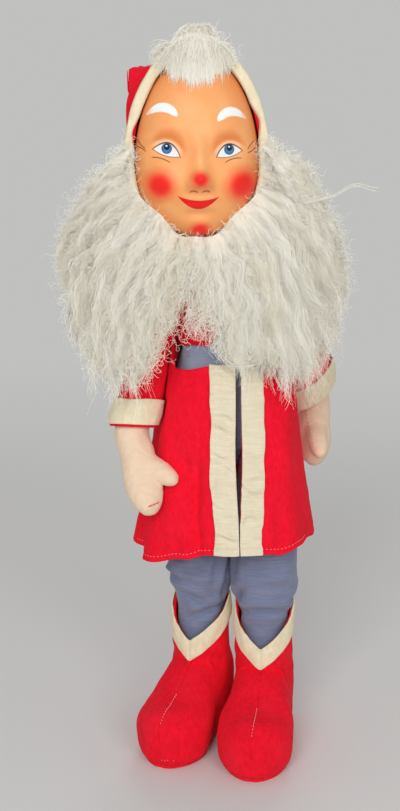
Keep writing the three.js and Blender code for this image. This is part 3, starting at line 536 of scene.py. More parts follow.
def makeLight():
    for number, (place, aim, size, watts) in enumerate(studio["lamps"]):
        lamp = bpy.data.lights.new("softbox" + str(number), "AREA")
        lamp.size = size
        lamp.energy = watts
        holder = bpy.data.objects.new(lamp.name, lamp)
        holder.location = place
        holder.rotation_euler = (Vector(aim) - Vector(place)).to_track_quat("-Z", "Y").to_euler()
        holder.visible_camera = False
        scene.collection.objects.link(holder)
    scene.world = bpy.data.worlds.new("air")
    scene.world.use_nodes = True
    nodes, links = scene.world.node_tree.nodes, scene.world.node_tree.links
    light = nodes["Background"]
    light.inputs["Color"].default_value = (1, 1, 1, 1)
    light.inputs["Strength"].default_value = studio["fill"]
    seen = nodes.new("ShaderNodeBackground")
    seen.inputs["Color"].default_value = (*studio["air"], 1)
    either = nodes.new("ShaderNodeMixShader")
    links.new(seenDirectly(nodes, links), either.inputs[0])
    links.new(light.outputs[0], either.inputs[1])
    links.new(seen.outputs[0], either.inputs[2])
    links.new(either.outputs[0], nodes["World Output"].inputs["Surface"])


makeFloor()
makeLight()
print("camera and studio ready")


# Torso and coat

torsoForm = {
    "z": [0, 6, 48, 98, 112.3, 120], "x": [0, 0, 0, 0, -5.6, -14], "y": [0, 0, 0, 0, 2.4, 6],
    "a": [28, 34, 35, 34, 28, 16], "b": [24, 29, 30, 28.5, 24, 16], "power": [2.6, 2.6, 2.4, 2.4, 2, 2]}


def torsoAt(z):     # the torso's section at a height
    level = np.clip(z, torsoBottom, torsoTop) - torsoBottom
    return [np.interp(level, torsoForm["z"], torsoForm[key]) for key in ("x", "y", "a", "b", "power")]


def torsoPoint(turn, z, out):       # turn 0 is the front
    x, y, a, b, power = torsoAt(z)
    c, s = superRound(turn, power)
    return np.stack([x + (a + out) * s, y - (b + out) * c, z + 0 * turn], -1)


arms = {
    "left": {"sign": -1, "out": 15, "forward": 14.5, "bend": (12, -22), "drop": 51,
             "thumb": (0.86, -0.45, -0.42), "cuffTilt": 0.21, "cuffUp": 0},
    "right": {"sign": 1, "out": 15, "forward": -24, "bend": (2, 6), "drop": 50,
              "thumb": (0.1, -1, -0.7), "cuffTilt": 0.42, "cuffUp": 4}}
sleeve = {"radius": 14.1, "flare": 0.9, "length": 86, "thick": 1.4,
          "cuffWidth": 18, "cuffRadius": 15.3, "cuffThick": 1.3, "lip": 1.7}
for side, arm in arms.items():
    arm["pivot"] = pivots["shoulder_" + side]
    out, forward = (np.tan(radians(arm[key])) for key in ("out", "forward"))
    arm["hang"] = unit(np.array([arm["sign"] * out, -forward, -1]))


def giveWay(points, inward, room):      # cloth beside a hanging sleeve moves in to clear it
    moved = points
    for arm in arms.values():
        off = moved - arm["pivot"]
        run = off @ arm["hang"]
        gap = np.linalg.norm(off - run[..., None] * arm["hang"], axis=-1)
        cuffed = run > sleeve["length"] - sleeve["cuffWidth"] - 4
        radius = np.where(cuffed, sleeve["cuffRadius"] + 1.6, sleeve["radius"])
        near = np.maximum(0, radius + room - gap) * smooth(run, 6, 24) * smooth(-run, -112, -88)
        moved = moved + inward * near[..., None]
    return moved


coat = {
    "ease": 3, "corner": 2.4, "flareSide": 18, "flareFront": 17, "flareBack": 12, "thick": 1.5,
    "hem": torsoBottom - 62, "droop": 10, "stitchUp": 3.6,
    "opening": 7, "sideLeft": -88, "sideRight": 92, "seam": 0.08,       # in degrees from the front
    "neckDrop": 64, "neckSag": 4, "sideDrop": 17.6, "backDrop": 12.4,   # edges below the torso's top
    # folds: angle from the front, half-width in degrees and height at the hem
    "folds": [(-55, 11, 4), (-74, 8, -7), (-96, 10, 3.5), (38, 14, 2), (66, 10, -3), (140, 14, 3),
              (176, 14, -3), (212, 14, 3)],
    # dents: angle, height, half-width in degrees, half-height and depth
    "dents": [(-36, 197, 8, 8, -5), (-25, 180, 3.8, 20, -4.6), (-40, 172, 7, 22, 3.0),
              (-14, 192, 5, 24, 2.0), (-52, 214, 9, 12, 2.4), (-22, 151, 3, 10, -3.4),
              (-29, 149, 3.5, 9, 1.6), (30, 232, 12, 8, -1.3), (45, 205, 9, 22, 1.8),
              (58, 240, 8, 14, 1.6), (36, 160, 6, 20, -2.2), (68, 168, 7, 24, 1.8)]}
coatTop = torsoTop - 11


def coatPoint(angle, z, out):
    s = np.maximum(0, (coatTop - z) / (coatTop - coat["hem"]))
    x, y = np.sin(np.radians(angle)), -np.cos(np.radians(angle))
    bodyX, bodyY, a, b, _ = torsoAt(np.maximum(z, torsoBottom + 48))
    halfWidth = a + coat["ease"] + coat["flareSide"] * s**1.8
    halfDepth = b + coat["ease"] + np.where(y < 0, coat["flareFront"], coat["flareBack"]) * s
    power = coat["corner"]
    radius = ((np.abs(x) / halfWidth) ** power + (np.abs(y) / halfDepth) ** power) ** (-1 / power)
    for at, spread, height in coat["folds"]:
        off = (angle - at + 180) % 360 - 180
        radius = radius + height * hump(off, spread) * s**2
    for at, level, spread, tall, height in coat["dents"]:
        off = (angle - at + 180) % 360 - 180
        radius = radius + height * np.exp(-((off / spread) ** 2) - ((z - level) / tall) ** 2)
    r = radius + out
    return np.stack([bodyX + r * x, bodyY + r * y, z + 0 * x], -1)


def hemAt(angle):
    way = (angle + 180) % 360 - 180
    low = coat["hem"] - coat["droop"] * smooth(-np.sin(np.radians(way)), 0.25, 0.9)
    return low + 0.9 * np.sin(np.radians(way * 7 + 40)) + 0.5 * np.sin(np.radians(way * 17))


def openingHalf(z):     # half the gap between the fronts, in degrees, closing towards the hem
    return np.degrees(lerp(0.45, 1.9, smooth(z, coat["hem"] + 4, coat["hem"] + 75)) / 42)


def frontTop(angle):
    sag = coat["neckSag"] * smooth(-angle, 12, 42)      # the left front has slipped a little
    return torsoTop - lerp(coat["neckDrop"] + sag, coat["sideDrop"], smooth(np.abs(angle), 48, 84))


def backTop(angle):
    return torsoTop - coat["backDrop"] + 0 * angle


def coatSurface(angle, z, out):     # with the cloth's small unevenness, clear of the sleeves
    points = coatPoint(angle, z, out)
    outward = roundOut(np.radians(angle)) + 0 * points
    soft = 0.55 * ripple(points, 26, 3) + 0.22 * ripple(points, 9, 4)
    return giveWay(points + outward * soft[..., None], -outward, 1.6 + out - coat["thick"])


def coatPanel(name, angles, topAt, openEdge, rows=84):
    top, low = topAt(angles), hemAt(angles)
    share = np.linspace(0, 1, rows)[:, None]
    z = lerp(low[None], top[None], share)
    hemRoll = 0.5 * hump(z - low[None] - coat["stitchUp"], 0.9)     # the stitched hem draws in
    shares = np.linspace(0, 1, len(angles)) if openEdge < 0 else np.linspace(1, 0, len(angles))
    pulled = angles[None] + openEdge * openingHalf(z) * shares[None] ** 6
    grid = coatSurface(pulled, z, coat["thick"] - hemRoll)
    piece = skin(name, grid, redFlannel, thick=coat["thick"])
    line = coatSurface(angles, low + coat["stitchUp"], coat["thick"] - 0.42)
    return piece, cutSize(grid), line, roundOut(np.radians(angles))


def makeCoat():
    middle, left, right, seam = (coat[key] for key in ("opening", "sideLeft", "sideRight", "seam"))
    spans = {
        "coatFrontLeft": ("coat_front_left", left + seam, middle, 100, frontTop, -1),
        "coatFrontRight": ("coat_front_right", middle, right - seam, 90, frontTop, 1),
        "coatBack": ("coat_back", right + seam, 360 + left - seam, 150, backTop, 0)}
    rows = []
    for name, (node, start, end, columns, topAt, openEdge) in spans.items():
        piece, cut, line, outward = coatPanel(name, np.linspace(start, end, columns), topAt, openEdge)
        sheetOf(piece, "torso", node, cut)
        rows.append(stitchRow(line, outward, 1.3, 1.3))
    starts, ends, outward = (np.concatenate(part) for part in zip(*rows))
    sunk = ripple(starts, 34, 7)[:, None] < -0.2        # here and there the thread sinks into the cloth
    starts, ends = (np.where(sunk, points - outward * 0.45, points) for points in (starts, ends))
    rideOf(stitchMesh("hemStitches", starts, ends, outward, 0.32, paleThread), "torso")


makeCoat()

bands = {"left": {"sign": -1, "width": 14.5}, "right": {"sign": 1, "width": 13}}
bandCloth = {"thick": 1.2, "fold": 5.5, "gap": 0.9, "rows": 150, "columns": 22}


def makeFrontBand(side, band):
    angle0, sign, turnUp = coat["opening"], band["sign"], bandCloth["fold"]
    low, top = hemAt(np.array([angle0]))[0] - 0.5, torsoTop - coat["neckDrop"] + 1.0
    z = np.linspace(low, top, bandCloth["rows"])[:, None]
    edge = coatPoint(angle0 + 0 * z, z, 0)
    reach = np.hypot(edge[..., 0], edge[..., 1])
    width = band["width"] + 0.35 * np.sin(z / 9 + sign) + 0.25 * np.sin(z / 3.7)
    share = np.linspace(0, 1, bandCloth["columns"])[None]
    across = np.degrees((0.2 * np.sin(z / 14) - 0.15 + width * share) / reach)
    angle = angle0 + sign * (openingHalf(z) + across)
    plain = coatSurface(angle, z + 0 * angle, coat["thick"] + bandCloth["gap"] + bandCloth["thick"])
    # fine cross wrinkles, a doubled hem and turned long edges
    wrinkle = np.sin(z / 1.75 + 3.2 * ripple(plain, 15, 11 + sign) + sign * 1.6 * share)
    patches = np.abs(ripple(plain, 18, 15 + sign))
    wrinkle = 1.5 * wrinkle * patches * np.sin(pi * (0.12 + 0.76 * share))
    doubled = 1.1 * (1 - smooth(z, low + turnUp - 0.3, low + turnUp + 0.3))
    doubled = doubled - 0.9 * hump(z - low - turnUp - 0.9, 0.7)
    turnedIn = 0.3 * hump(np.minimum(share, 1 - share) * width, 1.6)
    outward = roundOut(np.radians(angle))
    grid = plain + outward * np.maximum(wrinkle + doubled - turnedIn, -0.8)[..., None]
    fold = int(np.argmin(np.abs(z[:, 0] - low - turnUp + 1.1)))
    row = stitchRow(grid[fold, 1:-1] + outward[fold, 1:-1] * 0.1, outward[fold, 1:-1], 1.1, 0.9)
    rideOf(stitchMesh(named("bandStitches", side), *row, 0.26, creamThread), "torso")
    if sign < 0:
        grid = grid[:, ::-1]
    piece = skin(named("frontBand", side), grid, creamCotton, thick=bandCloth["thick"])
    sheetOf(piece, "torso", "front_band_" + side, cutSize(grid))


for side, band in bands.items():
    makeFrontBand(side, band)

seat = {"drop": 17.5, "room": 0.9, "depth": 25, "rings": 10}


def seatRings(turn):        # the stuffed seat comes down between the tops of the legs
    left, right = pivots["hip_left"], pivots["hip_right"]
    across = unit(right - left)
    back = np.array([-across[1], across[0], 0])
    reach = torsoBottom - left[2]
    rings = []
    for share in np.linspace(1, 0.03, seat["rings"]):
        down = seat["drop"] * sin(share * pi / 2)
        beside = np.sqrt(reach**2 - (reach - down) ** 2)
        half = (np.linalg.norm(right - left) / 2 - beside - seat["room"]) * cos(0.46 * pi * share**8)
        deep = seat["depth"] * np.sqrt(1 - (0.97 * share) ** 2)
        middle = (left + right) / 2 + [0, 0, reach - down]
        rings.append(middle + half * np.sin(turn)[:, None] * across - deep * np.cos(turn)[:, None] * back)
    return np.stack(rings)


def makeTorso():
    turn = np.arange(72) * 2 * pi / 72
    z = torsoBottom + np.array([0, 2, 5, *np.linspace(9, 118, 44), 120])
    grid = torsoPoint(turn[None] + 0 * z[:, None], z[:, None] + 0 * turn[None], 0)
    outward = gridNormals(grid, True)
    outward = outward * np.sign((outward * (grid - [0, 0, torsoBottom + 60])).sum(-1, keepdims=True))
    crease = 0.7 * ripple(grid, 18, 21) + 0.35 * ripple(grid, 7, 22)
    grid = grid + outward * crease[..., None]
    inward = 0 * grid - roundOut(turn)[None]
    grid = np.concatenate([seatRings(turn), giveWay(grid, inward, 5.5)])
    piece = skin("shirtBody", grid, shirtCotton, wrap=True, caps=(0, -1))
    paddedOf(piece, "torso", "torso")


makeTorso()

collar = {"drop": 15.5, "bib": 39, "bibAt": -34, "stand": 333.1, "neck": (-14, 6, 13), "out": 2.6,
          "thick": 1.4}


def makeCollar():
    turn = np.linspace(0, 2 * pi, 97)[:-1]
    hanging = smooth(np.cos(turn - radians(collar["bibAt"])), 0.72, 0.97)
    edge = torsoTop - collar["drop"] - collar["bib"] * hanging
    edge = edge + 0.8 * np.sin(turn * 9)
    rows = []
    for share in np.linspace(0, 1, 26):
        z = lerp(edge, torsoTop - 0.5, share)
        rows.append(torsoPoint(turn, z, collar["out"] + 0.9 * smooth(z, torsoTop - 12, torsoTop - 5)))
    neckX, neckY, neckRadius = collar["neck"]
    for share in (0.35, 0.7, 1):
        r = neckRadius + collar["out"] + 0.4 + 1.5 * (1 - share)
        z = lerp(torsoTop, collar["stand"] - 1, share)
        rows.append(np.stack([neckX + r * np.sin(turn), neckY - r * np.cos(turn), z + 0 * turn], -1))
    grid = np.array(rows)
    grid = grid + gridNormals(grid, True) * (0.5 * ripple(grid, 12, 31))[..., None]
    piece = skin("collarCloth", grid, redFlannel, wrap=True, thick=collar["thick"])
    sheetOf(piece, "torso", "collar", cutSize(grid, True))


makeCollar()
print("torso, coat, bands and collar ready")


# Arms

handForm = {"arm": 10.8, "top": 11.4, "halfWidth": 11.9, "halfDepth": 9, "thumb": 6.2, "thumbLength": 31,
            "weld": 0.9, "soften": 8}
handThreads = {     # thread, thickness, stitch and gap, and the line it follows across and up
    "left": (redThread, 0.75, 2.5, 0.05, [(-49.8, 175.6), (-46, 176.6), (-42.2, 177.8)]),
    "right": (seamThread, 0.5, 1.2, 1.5, [(52.6, 222), (53.6, 216), (55, 209), (56.6, 202), (58, 195)])}


def capStations(at, way, radius, angles):       # the rounded end of a limb
    stations = []
    for angle in angles:
        size = radius * cos(radians(angle))
        stations.append([*(at + way * np.sin(radians(angle)) * radius), size, size])
    return stations


def makeArm(side, arm):
    pivot, hang = arm["pivot"], arm["hang"]
    elbow = pivot + hang * sleeve["length"]
    below = lambda share, swing: elbow + np.array([*np.array(arm["bend"]) * swing, -arm["drop"] * share])
    r, wide, deep = handForm["arm"], handForm["halfWidth"], handForm["halfDepth"]
    wrist, palm = below(0.35, 0.3), below(0.65, 0.62)
    stations = [
        *capStations(pivot, -hang, handForm["top"], (80, 45)),
        [*pivot, handForm["top"], handForm["top"]],
        [*(pivot + hang * sleeve["length"] * 0.55), r + 1.2, r + 1.2],
        [*elbow, r, r],
        [*wrist, r + 0.4, r - 1],
        [*palm, wide, deep],
        [*below(0.87, 0.88), wide * 0.74, deep * 0.85],
        [*below(0.97, 0.98), wide * 0.40, deep * 0.5],
        [*below(1, 1), wide * 0.1, deep * 0.12]]
    way = unit(np.array(arm["thumb"]))
    t, length = handForm["thumb"], handForm["thumbLength"]
    thumb = [[*(wrist + way * length * at), t * size, t * size * 0.95]
             for at, size in ((0, 1.25), (0.35, 1.15), (0.65, 1.05), (0.86, 0.84), (0.97, 0.45), (1, 0.15))]
    hand, thumbGrid = limb(stations, 90, 40), limb(thumb, 30, 24)
    parts = [skin("part" + str(n), grid, skinCotton, wrap=True, caps=(0, -1), finer=0)
             for n, grid in enumerate((hand, thumbGrid))]
    work = bmesh.new()
    for part in parts:
        work.from_mesh(part.data)
        bpy.data.objects.remove(part)
    mesh = bpy.data.meshes.new("arm" + side)
    work.to_mesh(mesh)
    work.free()
    piece = addObject(named("arm", side), mesh, skinCotton)
    weld = piece.modifiers.new("weld", "REMESH")
    weld.mode = "VOXEL"
    weld.voxel_size = handForm["weld"] * mm
    weld.use_smooth_shade = True
    soften = piece.modifiers.new("soften", "SMOOTH")
    soften.iterations = handForm["soften"]
    applyModifiers(piece)
    points = readPoints(piece)
    outward = readNormals(piece)
    soft = 0.35 * ripple(points, 13, 41) + 0.15 * ripple(points, 5, 42)
    writePoints(piece, points + outward * soft[:, None])
    paddedOf(piece, "arm_" + side, "arm_" + side)
    # a sewn thread on the front of the hand
    thread, thickness, length, gap, line = handThreads[side]
    line = spline(line, 24)
    near = [np.argmin(((points[:, [0, 2]] - at) ** 2).sum(1) + 0.3 * points[:, 1]) for at in line]
    shown = np.column_stack([line[:, 0], points[near, 1], line[:, 1]])
    shown[1:-1, 1] = (shown[:-2, 1] + shown[1:-1, 1] + shown[2:, 1]) / 3 - 0.2
    row = stitchRow(shown, outward[near], length, gap)
    rideOf(stitchMesh(named("handThread", side), *row, thickness, thread), "arm_" + side)


def makeSleeve(side, arm):
    pivot, hang = arm["pivot"], arm["hang"]
    radius, reach = sleeve["radius"], sleeve["length"] - arm["cuffUp"]
    stations = [*capStations(pivot, -hang, radius, (86, 60, 30)), [*pivot, radius, radius],
                [*(pivot + hang * reach * 0.5), radius, radius],
                [*(pivot + hang * reach), radius + sleeve["flare"], radius + sleeve["flare"]]]
    grid = limb(stations, 70, 64)
    outward = unit(grid - grid.mean(1, keepdims=True))
    run = (grid - pivot) @ hang
    loose = smooth(run, -4, 20) * (1 - smooth(run, reach - 22, reach - 14))
    creases = 0.9 * ripple(grid * [1, 1, 1.6], 20, 51 + arm["sign"]) + 0.3 * ripple(grid, 7, 53)
    tilt = arm["cuffTilt"] * (grid[..., 0] - grid[..., 0].mean(1, keepdims=True))
    tilt = tilt * smooth(run, reach - 40, reach - 16)
    grid = grid + outward * (creases * loose)[..., None]
    grid[..., 2] += tilt
    piece = skin(named("sleeve", side), grid, redFlannel, wrap=True, caps=(0,), thick=sleeve["thick"])
    faceOut(piece.data)
    sheetOf(piece, "arm_" + side, "sleeve_" + side, cutSize(grid, True))
    # the turned-back cuff, a little uneven, with a sewn join
    share = np.linspace(0, 1, 26)
    centres = pivot + hang * lerp(reach - sleeve["cuffWidth"], reach - sleeve["lip"], share)[:, None]
    bulge = sleeve["cuffRadius"] + 1.35 + 0.35 * np.sin(pi * share)
    turn = np.arange(72) * 2 * pi / 72
    cuffGrid = ringsAlong(centres, np.repeat(hang[None], 26, 0), bulge, bulge, turn)
    outward = unit(cuffGrid - cuffGrid.mean(1, keepdims=True))
    uneven = 0.45 * ripple(cuffGrid, 16, 57) + 0.2 * ripple(cuffGrid, 6, 58)
    tilt = arm["cuffTilt"] * (cuffGrid[..., 0] - cuffGrid[..., 0].mean(1, keepdims=True))
    join = -0.7 * hump(np.arange(72) - 58, 0.8)[None]
    wavy = 0.6 * ripple(cuffGrid, 22, 59)
    cuffGrid = cuffGrid + outward * (uneven + join)[..., None] + hang * wavy[..., None]
    cuffGrid[..., 2] += tilt
    cuff = skin(named("cuff", side), cuffGrid, creamFelt, wrap=True, thick=sleeve["cuffThick"])
    sheetOf(cuff, "arm_" + side, "cuff_" + side, cutSize(cuffGrid, True))


for side, arm in arms.items():
    makeArm(side, arm)
    makeSleeve(side, arm)
print("arms ready")


# Legs and boots

legs = {"left": -1, "right": 1}
stance = {"middle": 4, "turn": -16, "splay": 6.5, "half": 22}
boot = {"height": 90, "front": 66, "halfWidth": 19.4, "halfDepth": 20.5, "toe": 73, "heel": 25,
        "toeHalf": 25.5, "toeHeight": 36, "felt": 2, "sole": 2.4, "soleInset": 3.2, "stitched": (-44, -70.5),
        "cuffHeight": 15, "cuffRise": 5, "cuffThick": 1.2, "notch": 27}


def onLeg(points, sign):
    moved = turned(points, sign * stance["splay"]) + [sign * stance["half"], 0, 0]
    return turned(moved, stance["turn"]) + [stance["middle"], 0, 0]


def turnWay(vectors, sign):
    return turned(turned(vectors, sign * stance["splay"]), stance["turn"])


def cuffTop(fromFront):     # the boot's top edge, lowest in the V at the front
    rise = np.minimum(1, np.abs(fromFront) / (pi * 0.55))
    return boot["height"] + boot["cuffRise"] - boot["notch"] * (1 - rise)


def frontwards(count):      # angles round a boot, closer together at the front seam
    even = (np.arange(count) / count - 0.5) * 2 * pi
    return even - 0.55 * np.sin(even)


def footHalf(y):        # half the foot's width along it, egg-shaped towards the toe
    start = -boot["halfDepth"] * 0.75 - 6
    share = np.clip((start - y) / (boot["toe"] + start), 0, 1)
    wide = lerp(boot["halfWidth"] + 1.5, boot["toeHalf"], smooth(share, 0, 0.5))
    taper = (1 - np.clip((share - 0.42) / 0.59, 0, 1) ** 2) ** 0.55
    heelward = np.clip((y - boot["heel"]) / boot["halfWidth"] + 1, 0, 1)
    return wide * taper * np.sqrt(1 - heelward**2)


def bootStations():
    instepY, instepZ = -boot["halfDepth"] * 0.75, boot["front"] * 0.78
    rows = [[0, 0, z, boot["halfWidth"], boot["halfDepth"], 2] for z in (boot["height"], 74, 56)]
    heelSize = boot["heel"] + boot["halfDepth"] * 0.75
    for angle in (28, 55, 80):
        share = angle / 90
        reach = lerp(heelSize, instepZ, share) + 6 * sin(pi * share)
        half = reach / 2
        y = instepY + cos(radians(angle)) * (half - 1)
        z = instepZ - sin(radians(angle)) * (half - 1)
        rows.append([angle, y, z, boot["halfWidth"] + 1.2 * share, half + 1, 2 + 0.4 * share])
    footStart = instepY - 6
    for share in (0.12, 0.34, 0.58, 0.8, 0.93, 0.985):
        y = lerp(footStart, -boot["toe"], share)
        rounded = 1 if share < 0.58 else np.sqrt(max(0, 1 - ((share - 0.58) / 0.43) ** 2))
        high = lerp(instepZ - 3, boot["toeHeight"], smooth(share, 0, 0.55))
        rows.append([90, y, high / 2, footHalf(y), (high / 2 + 2) * (0.35 + 0.65 * rounded), 2.3])
    middle = boot["toeHeight"] / 2
    rows += [[90, -boot["toe"] + 0.1, middle, 3.6, 7, 2.1], [90, -boot["toe"] - 0.3, middle, 0.6, 0.8, 2]]
    return np.array(rows, float)


def bootGrid(inset, turn, count):
    rows = spline(bootStations(), count)
    angle = np.radians(rows[:, 0])
    along = np.stack([0 * angle, -np.sin(angle), -np.cos(angle)], -1)
    centres = np.stack([0 * angle, rows[:, 1], rows[:, 2]], -1)
    under = smooth(-np.sin(turn), -0.2, 0.5)[None] * np.sin(angle)[:, None]      # squarer next to the sole
    power = rows[:, 5:6] + 0.8 * under
    a, b = np.maximum(rows[:, 3:5].T - inset, 0.4)
    return ringsAlong(centres, along, a, b, turn, power)


def fullHeel(grid):     # the heel comes down squarely onto the sole
    x, y, z = np.moveaxis(grid, -1, 0)
    low = np.clip((26 - z) / 23.3, 0, 1) ** 2
    back = 27.8 - 23.3 * low
    wider = 1 + 0.15 * low * smooth(y, -40, -18) * (1 - smooth(y, 0, 6))
    return np.stack([x * wider, y + 17 * low * smooth(y, -22, back), z], -1)


def makeBoot(side, sign):
    fromFront = frontwards(110)
    turn = pi / 2 - fromFront       # the front seam lies at a quarter turn
    grid = bootGrid(0, turn, 96)
    # the shaft's top edge follows the cuff, and the rings under it close up to it
    top = cuffTop(fromFront) - 1.2
    level = grid[:14, :, 2].copy()
    share = np.linspace(0, 1, 14)[:, None]
    grid[:14, :, 2] = lerp(top[None], level[-1][None], share)
    floor = boot["sole"] + 0.3
    grid[..., 2] = floor + np.maximum(grid[..., 2] - floor, 0.02 * (grid[..., 2] - floor))
    grid = fullHeel(grid)
    outward = gridNormals(grid, True)
    outward = outward * np.sign((outward * (grid - grid.mean(1, keepdims=True))).sum(-1, keepdims=True))
    lying = grid[..., 2] <= floor + 0.5
    x, y, z = np.moveaxis(grid, -1, 0)
    inFront = (np.abs(fromFront) < 0.9)[None]
    seam = -0.9 * hump(x, 0.75) * inFront
    ridge = 0.5 * hump(np.abs(x) - 1.7, 1.0) * inFront
    ankle = hump(z - 52, 13) * hump(y + 12, 16)
    creases = 0.8 * ankle * np.sin(z / 2.6 + np.abs(x) / 6)
    soft = 0.7 * ripple(grid, 24, 61 + sign) + 0.25 * ripple(grid, 9, 63)
    push = np.where(lying, 0, seam + ridge + creases + soft)
    grid = grid + outward * push[..., None]
    grid[..., 2] = np.maximum(grid[..., 2], floor)
    piece = skin(named("boot", side), onLeg(grid, sign), redFelt, wrap=True, caps=(-1,), thick=boot["felt"])
    faceOut(piece.data)
    sheetOf(piece, "leg_" + side, "boot_" + side, cutSize(grid, True))
    # pale stitches on part of the front seam and round the toe
    middle = int(np.argmin(np.abs(fromFront)))
    ridgeLine = grid[:, middle + 1] + outward[:, middle + 1] * 0.15
    first, last = boot["stitched"]
    shown = (ridgeLine[:, 1] < first) & (ridgeLine[:, 1] > last)
    row = stitchRow(onLeg(ridgeLine[shown], sign), turnWay(outward[:, middle + 1][shown], sign), 1.0, 1.1)
    if side == "left":      # the sole's sewing shows at one toe
        toe = grid[..., 1] < -58
        front = grid[toe]
        near = [np.argmin((front[:, 0] - x) ** 2 + (front[:, 2] - 8) ** 2) for x in (3, 4.6, 6.2, 9.4)]
        low, out = front[near], outward[toe][near]
        under = (onLeg(low, sign), onLeg(low + [0.1, -0.1, 0.8], sign), turnWay(out, sign))
        row = [np.concatenate(pair) for pair in zip(row, under)]
    rideOf(stitchMesh(named("seamStitches", side), *row, 0.42, paleThread), "leg_" + side)
    makeBootCuff(side, sign)
    makeSole(side, sign)
    makeWadding(side, sign)


def makeBootCuff(side, sign):
    fromFront = frontwards(120)
    rows = []
    for share in np.linspace(0, 1, 20):
        z = cuffTop(fromFront) - boot["cuffHeight"] * (1 - share)
        out = 1.15 + 0.5 * sin(pi * share) - 0.5 * share
        x = (boot["halfWidth"] + out) * np.sin(fromFront)
        y = -(boot["halfDepth"] + out) * np.cos(fromFront)
        rows.append(np.stack([x, y, z], -1))
    grid = np.array(rows)
    seam = -0.8 * hump(grid[..., 0], 0.5) * (np.abs(fromFront) < 1)[None]
    uneven = 0.4 * ripple(grid, 15, 71 + sign) + 0.2 * ripple(grid, 5, 73)
    grid = grid + roundOut(fromFront)[None] * (seam + uneven)[..., None]
    piece = skin(named("bootCuff", side), onLeg(grid, sign), creamFelt, wrap=True, thick=boot["cuffThick"])
    sheetOf(piece, "leg_" + side, "boot_cuff_" + side, cutSize(grid, True))


def soleOutline(inset, count=120):
    share = (1 - np.cos(np.linspace(0.05, pi - 0.05, count // 2))) / 2
    y = lerp(-boot["toe"], boot["heel"], share)
    x = footHalf(y) * (1 - inset / boot["toeHalf"])
    y = lerp(-boot["toe"] + inset, boot["heel"] - inset, share)
    return np.concatenate([np.stack([x, y], -1), np.stack([-x[::-1], y[::-1]], -1)])


def makeSole(side, sign):
    rows = []
    for inset, z in ((9, 0), (2.4, 0), (1.5, 0.25), (1.1, 0.9), (1.1, 1.6), (1.5, 2.2), (2.4, 2.4), (9, 2.4)):
        outline = soleOutline(boot["soleInset"] + inset)
        rows.append(np.column_stack([outline, np.full(len(outline), float(z))]))
    grid = onLeg(np.array(rows), sign)
    piece = skin(named("sole", side), grid, redFelt, wrap=True, caps=(0, -1), finer=0)
    rideOf(piece, "leg_" + side, "sole_" + side)


def makeWadding(side, sign):
    turn = np.arange(40) * 2 * pi / 40
    grid = bootGrid(boot["felt"] + 1.6, turn, 60)[8:46]
    grid[..., 2] = np.clip(grid[..., 2], boot["sole"] + boot["felt"] + 1.2, 45)
    grid = grid + 0.4 * (ripple(grid, 8, 81) * (grid[..., 2] > 7))[..., None] * [0, 0, -1]
    grid = onLeg(grid, sign)
    piece = skin(named("footWadding", side), grid, waddingFinish, wrap=True, caps=(0, -1), finer=0)
    paddedOf(piece, "leg_" + side, "foot_stuffing_" + side)


trousers = {
    "hip": 18, "thigh": 21, "shin": 15.6, "ankle": 46, "middling": 19,
    # creases: angle round the leg in degrees, height, tilt in degrees, half-width, half-length and depth
    "creases": {
        "left": [(-38, 111, 2, 1.9, 13, 2.8), (10, 98.5, -23, 1.8, 10, 2.6), (33, 88, 16, 2.0, 17, 3.6),
                 (72, 112, 85, 2.2, 15, 3.4), (48, 118, 80, 1.8, 14, 2.0), (-30, 128, -10, 2.0, 14, 1.8),
                 (2, 119, 12, 2.2, 12, 1.6), (150, 118, -10, 2, 18, 1.8), (210, 104, 14, 2, 16, 1.6),
                 (180, 140, 70, 2, 18, 1.2), (-80, 116, 20, 1.8, 15, 1.4)],
        "right": [(1, 94, 3, 1.8, 22, 3.4), (-52, 101, 62, 1.8, 11, 2.8), (-58, 122, 84, 2, 18, 2.2),
                  (40, 112, -10, 2.2, 14, 1.6), (0, 124, 6, 2.2, 16, 1.2), (160, 112, 10, 2, 18, 1.8),
                  (215, 126, -14, 2, 16, 1.4), (100, 102, 16, 1.8, 15, 1.6), (186, 142, 74, 2, 18, 1.2)]}}


